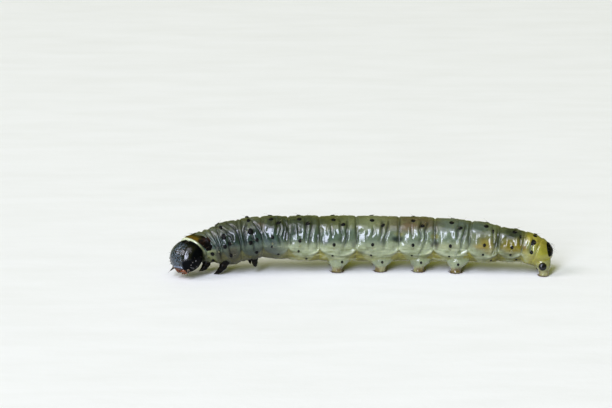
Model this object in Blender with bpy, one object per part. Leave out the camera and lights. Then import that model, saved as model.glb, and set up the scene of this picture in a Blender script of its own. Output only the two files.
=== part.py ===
"""Green oak tortrix larva, a still life-size insect about 18 mm long.

The larva walks to -X with its head turned to its left and down. Sizes are in millimetres: every
mesh is built in millimetres and scaled to metres once it is finished.
"""

import math

import bmesh
import bpy
from mathutils import Matrix, Vector

MM = 0.001
COLLECTION = "green_oak_tortrix_larva"

# Nodes meet face to face with this gap. It is a tenth of a millimetre and not three tenths,
# because the prolegs are only 0.45 mm tall and a segment is 1 to 2 mm long.
GAP = 0.1

# The middle of the larva's outline on the floor, which becomes the origin
FLOOR_CENTRE = Vector((-0.015, -0.646, 0.0))

# Each segment's name, the spine where its front joint lies, the radius of that joint's crease,
# and the radius at the fullest part of the segment
SEGMENTS = (
    ("prothorax", (-7.87, -1.00, 1.20), 0.72, 0.78),
    ("mesothorax", (-6.72, -0.65, 1.39), 0.86, 0.95),
    ("metathorax", (-5.79, -0.47, 1.52), 0.92, 1.01),
    ("abdomen_1", (-4.71, -0.32, 1.60), 0.95, 1.03),
    ("abdomen_2", (-3.46, -0.22, 1.56), 0.98, 1.08),
    ("abdomen_3", (-1.98, -0.14, 1.50), 1.01, 1.10),
    ("abdomen_4", (-0.25, -0.05, 1.47), 1.03, 1.09),
    ("abdomen_5", (1.77, 0.00, 1.44), 1.02, 1.07),
    ("abdomen_6", (3.48, -0.08, 1.43), 0.99, 1.03),
    ("abdomen_7", (5.16, -0.26, 1.39), 0.91, 0.95),
    ("abdomen_8", (6.55, -0.46, 1.31), 0.78, 0.80),
    ("abdomen_9", (7.63, -0.63, 1.22), 0.73, 0.74),
    ("abdomen_10", (8.25, -0.73, 1.04), 0.69, 0.69),
)
LAST = len(SEGMENTS) - 1
TAIL_END = (8.96, -0.86, 0.74)
NECK_DIRECTION = Vector((0.54, 0.62, 0.56)).normalized()
NECK_STIFFNESS = 0.9
TAIL_DIRECTION = Vector((0.88, -0.15, -0.45)).normalized()

# Cross-section of the body: a fat lobe low on each side, a flatter belly, two folds over the back
SIDES = 28
RINGS = (0.03, 0.09, 0.19, 0.34, 0.48, 0.58, 0.68, 0.78, 0.87, 0.94)
TAIL_RINGS = (0.12, 0.25, 0.40, 0.55, 0.68, 0.80, 0.89, 0.95, 0.985)
RING_ROOM = 0.02
PLUMPNESS = 0.55
LOBE_ANGLE = math.radians(118)
LOBE_SPREAD = math.radians(20)
LOBE_SWELL = 0.8
LOBE_PINCH = 0.05
BELLY_ANGLE = math.radians(145)
BELLY_FLATTENING = 0.09
FOLDS = ((0.57, 0.05), (0.79, 0.045))
FOLD_DEPTH = 0.035
SHIELD_FLATTENING = 0.2
TAIL_BLUNTNESS = 2.5
TAIL_SLOPE = 0.16

# The head: its centre, the way it heads, how far its face leans forward from straight up, its
# half sizes with less depth behind than in front, the level where it is flat at the mouth, and
# the groove over its crown
HEAD_CENTRE = Vector((-8.18, -1.45, 0.99))
HEAD_YAW = math.radians(55)
FACE_LEAN = math.radians(50)
HEAD_HALF_WIDTH = 0.80
HEAD_HALF_HEIGHT = 0.80
HEAD_FRONT_DEPTH = 0.70
HEAD_REAR_DEPTH = 0.60
MOUTH_LEVEL = 0.72
GROOVE_DEPTH = 0.05
GROOVE_WIDTH = 0.13

# The six small eyes on each side of the head, on an arc round a point above the jaw that is
# given as a direction: left, out of the face and to the mouth
EYE_MIDDLE = Vector((0.83, 0.12, 0.45)).normalized()
EYE_ARC = 0.26
EYE_TURNS = (-150, -100, -55, -10, 35, 90)
EYE_RADIUS = 0.055

# The two horny shields: segment index, their front and rear edges along the segment at the
# middle and at the sides, and how far round they reach
SHIELD_LIFT = 0.04
SHIELD_SUNK = 0.12
SHIELD_STEPS = 12
SHIELD_ROWS = 4
SHIELD_CORNER = 0.6
SHIELDS = (
    (0, (0.06, 0.38), (0.16, 0.62), math.radians(88)),
    (LAST, (0.30, 0.84), (0.36, 0.72), math.radians(52)),
)

# Black bristle plates on each side: place along the segment, degrees from the middle of the
# back, and radius
SPOT_SIDES = 6
SPOT_LIFT = 0.035
SPOT_SUNK = 0.07
SPOT_TOP = 0.65
ABDOMEN_SPOTS = (
    (0.37, 21, 0.085),
    (0.63, 38, 0.085),
    (0.38, 90, 0.095),
    (0.35, 121, 0.070),
    (0.62, 151, 0.075),
)
THORAX_SPOTS = (
    (0.00, 18, 0.080),
    (0.00, 56, 0.115),
    (-0.04, 86, 0.085),
    (0.25, 80, 0.075),
    (0.22, 117, 0.070),
)
FRONT_SPOTS = (
    (0.61, 115, 0.085),
    (0.58, 138, 0.075),
)
REAR_SPOTS = (
    (0.60, 11, 0.070),
    (0.62, 45, 0.125),
    (0.72, 84, 0.105),
)

# A row for each segment with spots: its index, which spots, how far back they are moved, and
# how far they are turned to the back
SPOT_ROWS = (
    (0, FRONT_SPOTS, 0.0, 1.0),
    (1, THORAX_SPOTS, 0.19, 1.0),
    (2, THORAX_SPOTS, 0.48, 1.0),
    (3, ABDOMEN_SPOTS, -0.01, 0.83),
    (4, ABDOMEN_SPOTS, -0.03, 0.91),
    (5, ABDOMEN_SPOTS, 0.0, 1.0),
    (6, ABDOMEN_SPOTS, 0.0, 1.0),
    (7, ABDOMEN_SPOTS, 0.03, 1.0),
    (8, ABDOMEN_SPOTS, 0.10, 1.0),
    (9, ABDOMEN_SPOTS, 0.15, 0.91),
    (10, ABDOMEN_SPOTS, 0.20, 0.90),
    (11, REAR_SPOTS, 0.0, 1.0),
)

# Thoracic legs: pair, segment index, side (1 left, -1 right), the root's place along the
# segment, and where the tip is
LEG_SIDES = 10
LEG_ROOT_ANGLE = math.radians(147)
LEG_BOSS = 0.05
LEG_BOSS_ROOT = 0.3
LEG_BOSS_RADII = (0.31, 0.275)
LEG_LEAN = 0.9
LEG_BEND = 0.4
LEG_SHAPE = (
    (0.0, 0.25),
    (0.22, 0.22),
    (0.42, 0.17),
    (0.6, 0.14),
    (0.8, 0.09),
    (1.0, 0.045),
)
LEGS = (
    ("front", 0, 1, 0.18, (-7.62, -1.42, 0.26)),
    ("front", 0, -1, 0.42, (-7.95, -0.44, 0.30)),
    ("middle", 1, 1, 0.15, (-6.93, -1.01, 0.00)),
    ("middle", 1, -1, 0.34, (-6.69, 0.04, 0.00)),
    ("hind", 2, 1, 0.54, (-4.97, -0.70, 0.29)),
    ("hind", 2, -1, 0.50, (-5.22, 0.02, 0.20)),
)

# Prolegs: segment index, place along the segment, and distance from the middle line. Their
# shape is share of the height, half length and half width.
PROLEG_TOP = 0.35
PROLEG_ROOT = 0.95
PROLEG_INSET = 0.3
PROLEG_SIDES = 16
PROLEGS = (
    (5, 0.48, 0.56),
    (6, 0.57, 0.55),
    (7, 0.57, 0.56),
    (8, 0.62, 0.60),
)
PROLEG_SHAPE = (
    (1.0, 0.37, 0.35),
    (0.72, 0.34, 0.32),
    (0.42, 0.27, 0.25),
    (0.2, 0.23, 0.22),
    (0.0, 0.25, 0.23),
)
BOSS_SHAPE = ((0.0, 1.05), (0.3, 1.22), (1.0, 1.3))
ANAL_FOOT = (8.58, -0.82)
ANAL_SPREAD = 0.50
ANAL_INSET = 0.2
ANAL_ROOT = 0.75
ANAL_SHAPE = (
    (1.0, 0.30, 0.27),
    (0.65, 0.27, 0.25),
    (0.3, 0.23, 0.21),
    (0.0, 0.24, 0.21),
)

# Mouthparts from the mouth's flat face: along the mouth's direction, left, out of the face,
# half width and half depth
LABRUM = ((0.0, 0.0, 0.24, 0.22, 0.07), (0.1, 0.0, 0.24, 0.19, 0.05))
LABIUM = ((0.0, 0.0, -0.27, 0.17, 0.11), (0.12, 0.0, -0.25, 0.09, 0.06))
MANDIBLE = (
    (0.0, 0.16, 0.0, 0.11, 0.10),
    (0.08, 0.15, 0.0, 0.10, 0.09),
    (0.16, 0.13, 0.01, 0.06, 0.05),
)
ANTENNA = (
    (0.0, 0.38, 0.02, 0.07, 0.07),
    (0.08, 0.43, 0.04, 0.05, 0.05),
    (0.14, 0.475, 0.06, 0.035, 0.035),
    (0.21, 0.56, 0.10, 0.012, 0.012),
)
MOUTHPART_SIDES = 12
ANTENNA_SIDES = 8

# Materials: colour, roughness and clear coat
GREEN_CUTICLE = ((0.42, 0.45, 0.30), 0.35, 0.6)
BLACK_CUTICLE = ((0.015, 0.015, 0.018), 0.25, 0.8)
AMBER_FOOT = ((0.50, 0.36, 0.14), 0.4, 0.4)
BROWN_MOUTHPART = ((0.28, 0.12, 0.06), 0.4, 0.4)
SHARP_EDGE = math.radians(40)


def principled(name, colour, roughness, coat):
    """A glossy cuticle material."""
    material = bpy.data.materials.new(name)
    material.use_nodes = True
    shader = material.node_tree.nodes["Principled BSDF"]
    shader.inputs["Base Color"].default_value = (*colour, 1.0)
    shader.inputs["Roughness"].default_value = roughness
    shader.inputs["Metallic"].default_value = 0.0
    shader.inputs["Coat Weight"].default_value = coat
    return material


def smoothstep(low, high, value):
    """0 at low, 1 at high and a smooth change between."""
    t = min(max((value - low) / (high - low), 0.0), 1.0)
    return t * t * (3.0 - 2.0 * t)


def bump(value, middle, width):
    """1 at the middle, fading to both sides."""
    return math.exp(-(((value - middle) / width) ** 2))


def side_word(side):
    return "left" if side > 0 else "right"


# The spine and the body's surface


def spine_joints():
    """The spine's joints with its direction at each, pointing to the tail."""
    points = [Vector(segment[1]) for segment in SEGMENTS] + [Vector(TAIL_END)]
    directions = [NECK_DIRECTION * NECK_STIFFNESS]
    for before, after in zip(points, points[2:]):
        directions.append((after - before).normalized())
    directions.append(TAIL_DIRECTION)
    return points, directions


JOINTS, DIRECTIONS = spine_joints()


def segment_at(s):
    """Segment index and the place along it, from 0 at its front joint to 1 at its rear one."""
    index = min(max(int(s), 0), LAST)
    return index, s - index


def spine(s):
    """A point on the spine, by a cubic through the joints."""
    index, u = segment_at(s)
    start, end = JOINTS[index], JOINTS[index + 1]
    chord = (end - start).length
    return (
        start * (2 * u**3 - 3 * u**2 + 1)
        + DIRECTIONS[index] * chord * (u**3 - 2 * u**2 + u)
        + end * (3 * u**2 - 2 * u**3)
        + DIRECTIONS[index + 1] * chord * (u**3 - u**2)
    )


def spine_frame(s):
    """The spine's point with its forward, left and dorsal directions."""
    index, u = segment_at(s)
    forward = -DIRECTIONS[index].normalized().lerp(DIRECTIONS[index + 1], u).normalized()
    up = Vector((0.0, 0.0, 1.0))
    dorsal = (up - forward * up.dot(forward)).normalized()
    return spine(s), forward, dorsal.cross(forward), dorsal


def body_radius(s, angle):
    """The body's radius at s, at an angle from the middle of the back."""
    index, u = segment_at(s)
    angle = abs(math.remainder(angle, 2 * math.pi))
    start, girth = SEGMENTS[index][2:4]
    if index == LAST:
        slope = TAIL_SLOPE * max(math.cos(angle), 0.0) * smoothstep(0.0, 0.7, u)
        return start * (1.0 - min(u, 1.0) ** TAIL_BLUNTNESS) ** 0.5 * (1.0 - slope)
    end = SEGMENTS[index + 1][2]
    arch = math.sin(math.pi * u)
    lobe = bump(angle, LOBE_ANGLE, LOBE_SPREAD)
    crease = (start + (end - start) * u) * (1.0 - LOBE_PINCH * lobe)
    swell = (girth - (start + end) / 2) * arch**PLUMPNESS
    if index == 0:
        swell -= SHIELD_FLATTENING * max(math.cos(angle), 0.0) * arch * (1.0 - u)
    folds = sum(bump(u, place, width) for place, width in FOLDS)
    fold = FOLD_DEPTH * (0.5 + 0.5 * math.cos(angle)) * folds
    belly = 1.0 - BELLY_FLATTENING * smoothstep(BELLY_ANGLE, math.pi, angle)
    return (crease + swell * (1.0 + LOBE_SWELL * lobe) - fold) * belly


def body_point(s, angle, lift=0.0):
    """A point over the body's surface; a positive angle is on the left side."""
    centre, _, left, dorsal = spine_frame(s)
    outward = dorsal * math.cos(angle) + left * math.sin(angle)
    return centre + outward * (body_radius(s, angle) + lift)


# Mesh tools


def mesh_object(name, bm):
    """A new object from a closed bmesh, its faces turned outwards, in the larva's collection."""
    bmesh.ops.recalc_face_normals(bm, faces=bm.faces)
    if bm.calc_volume(signed=True) < 0:
        bmesh.ops.reverse_faces(bm, faces=bm.faces)
    mesh = bpy.data.meshes.new(name)
    bm.to_mesh(mesh)
    bm.free()
    made = bpy.data.objects.new(name, mesh)
    bpy.data.collections[COLLECTION].objects.link(made)
    return made


def loft(name, rings, pole=None):
    """A closed mesh object through rings of points, with flat ends or a pole at the last end."""
    bm = bmesh.new()
    loops = [[bm.verts.new(point) for point in ring] for ring in rings]
    for near, far in zip(loops, loops[1:]):
        for k in range(len(near)):
            after = (k + 1) % len(near)
            bm.faces.new((near[k], near[after], far[after], far[k]))
    bm.faces.new(loops[0])
    if pole is None:
        bm.faces.new(loops[-1])
    else:
        tip = bm.verts.new(pole)
        for k in range(len(loops[-1])):
            bm.faces.new((loops[-1][k], loops[-1][(k + 1) % len(loops[-1])], tip))
    return mesh_object(name, bm)


def ellipse(centre, across, along, half_across, half_along, sides):
    """A ring of points round a centre."""
    ring = []
    for k in range(sides):
        turn = 2 * math.pi * k / sides
        step = across * half_across * math.cos(turn) + along * half_along * math.sin(turn)
        ring.append(centre + step)
    return ring


def dome(centre, outward, ahead, radius):
    """A low six-sided dome whose root is sunk into what carries it."""
    across = ahead.cross(outward).normalized()
    along = outward.cross(across)
    top_radius = radius * SPOT_TOP
    low = ellipse(centre - outward * SPOT_SUNK, across, along, radius, radius, SPOT_SIDES)
    top = ellipse(centre + outward * SPOT_LIFT, across, along, top_radius, top_radius, SPOT_SIDES)
    return loft("dome", [low, top])


def apply_modifiers(made):
    """Replaces an object's mesh by its evaluated one."""
    graph = bpy.context.evaluated_depsgraph_get()
    mesh = bpy.data.meshes.new_from_object(made.evaluated_get(graph))
    made.modifiers.clear()
    old = made.data
    made.data = mesh
    bpy.data.meshes.remove(old)


def shells_of(bm):
    """The faces of each connected surface, the largest last."""
    unseen = set(bm.faces)
    shells = []
    while unseen:
        stack = [unseen.pop()]
        shell = list(stack)
        while stack:
            for edge in stack.pop().edges:
                for face in edge.link_faces:
                    if face in unseen:
                        unseen.remove(face)
                        stack.append(face)
                        shell.append(face)
        shells.append(shell)
    return sorted(shells, key=len)


def fuse(made, pieces):
    """Joins closed pieces to an object by one Boolean union and keeps its largest surface."""
    group = bpy.data.collections.new("fused_pieces")
    bpy.context.scene.collection.children.link(group)
    for piece in pieces:
        bpy.data.collections[COLLECTION].objects.unlink(piece)
        group.objects.link(piece)
    union = made.modifiers.new("union", "BOOLEAN")
    union.operation = "UNION"
    union.operand_type = "COLLECTION"
    union.collection = group
    union.solver = "EXACT"
    apply_modifiers(made)
    for piece in list(group.objects):
        bpy.data.objects.remove(piece)
    bpy.data.collections.remove(group)
    bm = bmesh.new()
    bm.from_mesh(made.data)
    for shell in shells_of(bm)[:-1]:
        bmesh.ops.delete(bm, geom=shell, context="FACES")
    bm.to_mesh(made.data)
    bm.free()


def cut_flat(bm, point, normal):
    """Removes what lies beyond a plane and closes the cut."""
    geometry = list(bm.verts) + list(bm.edges) + list(bm.faces)
    bmesh.ops.bisect_plane(
        bm, geom=geometry, dist=1e-6, plane_co=point, plane_no=normal, clear_outer=True
    )
    rim = [edge for edge in bm.edges if edge.is_boundary]
    bmesh.ops.contextual_create(bm, geom=rim)


# The body's segments and what is raised on them


def segment_loft(index):
    """One body segment between flat end faces, half a gap short of each joint."""
    name = SEGMENTS[index][0]
    margin = 0.5 * GAP / (JOINTS[index + 1] - JOINTS[index]).length
    front = 0.0 if index == 0 else margin
    if index == LAST:
        places = [front, *TAIL_RINGS]
    else:
        low, high = front + RING_ROOM, 1.0 - margin - RING_ROOM
        places = [front, *(u for u in RINGS if low < u < high), 1.0 - margin]
    turns = [2 * math.pi * k / SIDES for k in range(SIDES)]
    rings = [[body_point(index + u, turn) for turn in turns] for u in places]
    return loft(name, rings, pole=spine(index + 1) if index == LAST else None)


def shield_edges(turn, middle, sides):
    """Where a shield's front and rear edges lie, turn running from -1 to 1 over the back."""
    front = middle[0] + (sides[0] - middle[0]) * turn * turn
    rear = middle[1] + (sides[1] - middle[1]) * smoothstep(0.0, 0.5, abs(turn))
    rear += (front - rear) * SHIELD_CORNER * smoothstep(0.75, 1.0, abs(turn))
    return front, rear


def shield(index, middle, sides, reach):
    """A horny plate bent over the back, sunk into its segment."""
    bm = bmesh.new()
    sheets = []
    for lift in (SHIELD_LIFT, -SHIELD_SUNK):
        sheet = []
        for row in range(SHIELD_ROWS + 1):
            line = []
            for step in range(SHIELD_STEPS + 1):
                turn = 2.0 * step / SHIELD_STEPS - 1.0
                front, rear = shield_edges(turn, middle, sides)
                u = front + (rear - front) * row / SHIELD_ROWS
                line.append(bm.verts.new(body_point(index + u, reach * turn, lift)))
            sheet.append(line)
        sheets.append(sheet)
    rims = []
    for sheet in sheets:
        for near, far in zip(sheet, sheet[1:]):
            for k in range(SHIELD_STEPS):
                bm.faces.new((near[k], near[k + 1], far[k + 1], far[k]))
        rim = sheet[0] + [line[-1] for line in sheet[1:]]
        rims.append(rim + sheet[-1][-2::-1] + [line[0] for line in sheet[-2:0:-1]])
    upper, lower = rims
    for k in range(len(upper)):
        after = (k + 1) % len(upper)
        bm.faces.new((upper[k], upper[after], lower[after], lower[k]))
    return mesh_object("shield", bm)


def bristle_plates(index):
    """The low domes that carry a segment's bristles, on both sides."""
    domes = []
    for row_index, spots, back, turn in SPOT_ROWS:
        if row_index != index:
            continue
        for u, degrees, radius in spots:
            for side in (1, -1):
                place = index + u + back
                angle = side * math.radians(degrees * turn)
                _, forward, left, dorsal = spine_frame(place)
                outward = dorsal * math.cos(angle) + left * math.sin(angle)
                domes.append(dome(body_point(place, angle), outward, forward, radius))
    return domes


# Legs


def tapered_limb(name, points, radii, normals):
    """A leg lofted through rings that face along it."""
    rings = []
    across = normals[0].orthogonal()
    for point, radius, normal in zip(points, radii, normals):
        across = (across - normal * across.dot(normal)).normalized()
        rings.append(ellipse(point, across, normal.cross(across), radius, radius, LEG_SIDES))
    return loft(name, rings)


def thoracic_leg(word, s, side, tip):
    """The coxa's boss, fused to its segment, and the free leg that curves from its flat face."""
    _, _, left, dorsal = spine_frame(s)
    root = body_point(s, side * LEG_ROOT_ANGLE)
    end = Vector(tip)
    radial = left * side * math.sin(LEG_ROOT_ANGLE) + dorsal * math.cos(LEG_ROOT_ANGLE)
    out = (radial + (end - root).normalized() * LEG_LEAN).normalized()
    face = root + out * LEG_BOSS
    boss = tapered_limb("boss", [root - out * LEG_BOSS_ROOT, face], LEG_BOSS_RADII, [out, out])
    start = face + out * GAP
    bend = start + out * LEG_BEND * (end - start).length
    last = (end - bend).normalized()
    points, radii, normals = [], [], []
    for t, radius in LEG_SHAPE:
        points.append(start * (1 - t) ** 2 + bend * 2 * t * (1 - t) + end * t * t)
        radii.append(radius)
        normals.append(out.lerp(last, t).normalized())
    if end.z == 0.0:
        normals[-1] = Vector((0.0, 0.0, -1.0))
    return boss, tapered_limb(f"leg_{word}_{side_word(side)}", points, radii, normals)


def level_ring(centre, half_x, half_y):
    """A level ellipse."""
    x_axis, y_axis = Vector((1.0, 0.0, 0.0)), Vector((0.0, 1.0, 0.0))
    return ellipse(centre, x_axis, y_axis, half_x, half_y, PROLEG_SIDES)


def proleg(name, foot, boss_top, shape):
    """A boss fused to the body over a stub foot that stands flat on the floor."""
    rings = []
    for share, half_x, half_y in shape:
        rings.append(level_ring(Vector((foot[0], foot[1], PROLEG_TOP * share)), half_x, half_y))
    stub = loft(name, rings)
    _, half_x, half_y = shape[0]
    low = Vector((foot[0], foot[1], PROLEG_TOP + GAP))
    rings = []
    for share, grow in BOSS_SHAPE:
        rings.append(level_ring(low.lerp(boss_top, share), half_x * grow, half_y * grow))
    return loft("boss", rings), stub


def belly_prolegs(index):
    """The bosses and stubs of a middle segment's pair of prolegs."""
    for proleg_segment, u, spread in PROLEGS:
        if proleg_segment != index:
            continue
        centre, _, left, _ = spine_frame(index + u)
        for side in (1, -1):
            foot = centre + left * side * spread
            top = foot.lerp(centre, PROLEG_INSET)
            top.z = PROLEG_ROOT
            number = SEGMENTS[index][0].split("_")[1]
            yield proleg(f"proleg_{number}_{side_word(side)}", foot, top, PROLEG_SHAPE)


def anal_prolegs():
    """The bosses and stubs of the last pair of prolegs."""
    for side in (1, -1):
        foot = (ANAL_FOOT[0], ANAL_FOOT[1] - side * ANAL_SPREAD)
        top = Vector((foot[0], foot[1] + side * ANAL_INSET, ANAL_ROOT))
        yield proleg(f"anal_proleg_{side_word(side)}", foot, top, ANAL_SHAPE)


# Head


def head_axes():
    """The head's left, mouth and face directions."""
    heading = Vector((-math.cos(HEAD_YAW), -math.sin(HEAD_YAW), 0.0))
    up = Vector((0.0, 0.0, 1.0))
    face = heading * math.sin(FACE_LEAN) + up * math.cos(FACE_LEAN)
    mouth = heading * math.cos(FACE_LEAN) - up * math.sin(FACE_LEAN)
    return up.cross(heading), mouth, face


def head_place(across, along, out):
    """A point from the head's centre: left, to the mouth and out of the face."""
    left, mouth, face = head_axes()
    return HEAD_CENTRE + left * across + mouth * along + face * out


def head_surface(unit):
    """The capsule's point in a direction given as left, out of the face and to the mouth."""
    groove = GROOVE_DEPTH * bump(unit.x, 0.0, GROOVE_WIDTH)
    groove *= smoothstep(0.25, -0.1, unit.z) * smoothstep(-0.5, 0.2, unit.y)
    shrink = 1.0 - groove
    depth = HEAD_FRONT_DEPTH if unit.y > 0.0 else HEAD_REAR_DEPTH
    across = unit.x * HEAD_HALF_WIDTH * shrink
    return head_place(across, unit.z * HEAD_HALF_HEIGHT * shrink, unit.y * depth * shrink)


def head_eyes():
    """The small domed eyes on both sides of the head."""
    mouth = head_axes()[1]
    eyes = []
    for side in (1, -1):
        middle = Vector((side * EYE_MIDDLE.x, EYE_MIDDLE.y, EYE_MIDDLE.z))
        down = Vector((0.0, 0.0, 1.0))
        down = (down - middle * down.dot(middle)).normalized()
        ahead = middle.cross(down) * side
        for degrees in EYE_TURNS:
            turn = math.radians(degrees)
            unit = middle + (down * math.cos(turn) + ahead * math.sin(turn)) * EYE_ARC
            place = head_surface(unit.normalized())
            eyes.append(dome(place, (place - HEAD_CENTRE).normalized(), mouth, EYE_RADIUS))
    return eyes


def head():
    """The head capsule with its eyes, cut flat at the mouth and at the neck."""
    bm = bmesh.new()
    bmesh.ops.create_uvsphere(bm, u_segments=30, v_segments=18, radius=1.0)
    for vert in bm.verts:
        vert.co = head_surface(vert.co)
    cut_flat(bm, head_place(0.0, MOUTH_LEVEL, 0.0), head_axes()[1])
    cut_flat(bm, JOINTS[0] - NECK_DIRECTION * GAP, NECK_DIRECTION)
    made = mesh_object("head", bm)
    fuse(made, head_eyes())
    return made


def mouthpart(name, levels, side, sides):
    """A piece lofted from the mouth's flat face, on the left side where side is 1."""
    left, _, face = head_axes()
    rings = []
    for along, across, out, half_across, half_out in levels:
        place = head_place(side * across, MOUTH_LEVEL + GAP + along, out)
        rings.append(ellipse(place, left, face, half_across, half_out, sides))
    return loft(name, rings)


def mouthparts():
    """Labrum, labium, mandibles and antennae."""
    made = [
        mouthpart("labrum", LABRUM, 1, MOUTHPART_SIDES),
        mouthpart("labium", LABIUM, 1, MOUTHPART_SIDES),
    ]
    for side in (1, -1):
        word = side_word(side)
        made.append(mouthpart(f"mandible_{word}", MANDIBLE, side, MOUTHPART_SIDES))
        made.append(mouthpart(f"antenna_{word}", ANTENNA, side, ANTENNA_SIDES))
    return made


# The whole larva


def build_segment(index):
    """One segment with all that is fused to it, and the free limbs under it."""
    raised = bristle_plates(index)
    raised += [shield(*row) for row in SHIELDS if row[0] == index]
    limbs = list(belly_prolegs(index))
    if index == LAST:
        limbs += anal_prolegs()
    for word, leg_segment, side, u, tip in LEGS:
        if leg_segment == index:
            limbs.append(thoracic_leg(word, index + u, side, tip))
    made = segment_loft(index)
    fuse(made, raised + [boss for boss, _ in limbs])
    return [made] + [limb for _, limb in limbs]


def finish(nodes):
    """Gives each node its material, shades it, and scales it to metres about the origin."""
    flesh = principled("green_cuticle", *GREEN_CUTICLE)
    black = principled("black_cuticle", *BLACK_CUTICLE)
    foot = principled("amber_foot", *AMBER_FOOT)
    brown = principled("brown_mouthpart", *BROWN_MOUTHPART)
    for made in nodes:
        material = flesh
        if made.name.startswith(("head", "leg", "antenna", "mandible")):
            material = black
        elif made.name.startswith(("proleg", "anal")):
            material = foot
        elif made.name.startswith(("labrum", "labium")):
            material = brown
        made.data.materials.clear()
        made.data.materials.append(material)
        made.data.transform(Matrix.Scale(MM, 4) @ Matrix.Translation(-FLOOR_CENTRE))
        made.data.shade_smooth()
        made.data.set_sharp_from_angle(angle=SHARP_EDGE)


def main():
    for old in list(bpy.data.objects):
        bpy.data.objects.remove(old)
    collection = bpy.data.collections.new(COLLECTION)
    bpy.context.scene.collection.children.link(collection)
    nodes = [head(), *mouthparts()]
    for index in range(len(SEGMENTS)):
        nodes += build_segment(index)
    finish(nodes)


main()
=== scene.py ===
"""The looks of the green oak tortrix larva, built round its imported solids.

Shapes are made in millimetres, in the frame that the part's source builds in, and are moved and
scaled to metres at the end. The larva walks to -X, and its left side is towards -Y.
"""

import math
import random

import bpy
import numpy as np
from mathutils import Matrix, Vector
from mathutils.bvhtree import BVHTree

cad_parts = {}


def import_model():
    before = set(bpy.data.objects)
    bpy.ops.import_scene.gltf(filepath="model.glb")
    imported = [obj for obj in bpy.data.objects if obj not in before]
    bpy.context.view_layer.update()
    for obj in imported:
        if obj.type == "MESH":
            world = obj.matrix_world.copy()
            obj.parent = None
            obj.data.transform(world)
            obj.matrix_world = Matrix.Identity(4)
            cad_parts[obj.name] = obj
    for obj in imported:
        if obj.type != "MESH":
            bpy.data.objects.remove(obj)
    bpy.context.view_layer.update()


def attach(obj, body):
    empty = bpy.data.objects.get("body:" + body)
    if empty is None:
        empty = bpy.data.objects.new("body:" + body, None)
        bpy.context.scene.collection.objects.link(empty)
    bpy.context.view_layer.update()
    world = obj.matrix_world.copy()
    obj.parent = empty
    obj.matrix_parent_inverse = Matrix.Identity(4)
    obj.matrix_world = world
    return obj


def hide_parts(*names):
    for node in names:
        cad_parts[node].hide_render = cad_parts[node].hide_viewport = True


MM = 0.001
FLOOR_CENTRE = (-0.015, -0.646, 0.0)
UP = np.array((0.0, 0.0, 1.0))
X_AXIS, Y_AXIS = np.array((1.0, 0.0, 0.0)), np.array((0.0, 1.0, 0.0))
SIDES = ((1, "left"), (-1, "right"))

# The solids' own sizes: front joint on the spine, radius of its crease, and girth
SEGMENTS = (
    ("prothorax", (-7.87, -1.00, 1.20), 0.72, 0.78),
    ("mesothorax", (-6.72, -0.65, 1.39), 0.86, 0.95),
    ("metathorax", (-5.79, -0.47, 1.52), 0.92, 1.01),
    ("abdomen_1", (-4.71, -0.32, 1.60), 0.95, 1.03),
    ("abdomen_2", (-3.46, -0.22, 1.56), 0.98, 1.08),
    ("abdomen_3", (-1.98, -0.14, 1.50), 1.01, 1.10),
    ("abdomen_4", (-0.25, -0.05, 1.47), 1.03, 1.09),
    ("abdomen_5", (1.77, 0.00, 1.44), 1.02, 1.07),
    ("abdomen_6", (3.48, -0.08, 1.43), 0.99, 1.03),
    ("abdomen_7", (5.16, -0.26, 1.39), 0.91, 0.95),
    ("abdomen_8", (6.55, -0.46, 1.31), 0.78, 0.80),
    ("abdomen_9", (7.63, -0.63, 1.22), 0.73, 0.74),
    ("abdomen_10", (8.25, -0.73, 1.04), 0.69, 0.69),
)
LAST = len(SEGMENTS) - 1
TAIL_END = (8.96, -0.86, 0.74)
NECK_STIFFNESS = 0.9
PLUMPNESS = 0.55
LOBE_ANGLE, LOBE_SPREAD, LOBE_SWELL, LOBE_PINCH = 118.0, 20.0, 0.8, 0.05
BELLY_ANGLE, BELLY_FLATTENING = 145.0, 0.09
SHIELD_FLATTENING = 0.2
TAIL_BLUNTNESS, TAIL_SLOPE = 2.5, 0.16


def unit(vector):
    """A vector of length one."""
    vector = np.asarray(vector, float)
    return vector / np.linalg.norm(vector)


NECK_DIRECTION = unit((0.54, 0.62, 0.56))
TAIL_DIRECTION = unit((0.88, -0.15, -0.45))
JOINTS = np.array([segment[1] for segment in SEGMENTS] + [TAIL_END], float)
CREASES = np.array([segment[2] for segment in SEGMENTS] + [0.0], float)
GIRTHS = np.array([segment[3] for segment in SEGMENTS], float)
CHORDS = np.linalg.norm(np.diff(JOINTS, axis=0), axis=1)
SWELLS = GIRTHS - (CREASES[:-1] + CREASES[1:]) / 2
SWELLS = np.concatenate([[0.0], (SWELLS[:-2] + SWELLS[1:-1]) / 2, [SWELLS[-2] / 2, 0.0]])
BRIDGE_BACK, BRIDGE_FLANK, BRIDGE_TAIL = 0.55, 0.35, 0.8
DIRECTIONS = np.array(
    [NECK_DIRECTION * NECK_STIFFNESS]
    + [unit(after - before) for before, after in zip(JOINTS, JOINTS[2:])]
    + [TAIL_DIRECTION]
)

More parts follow.
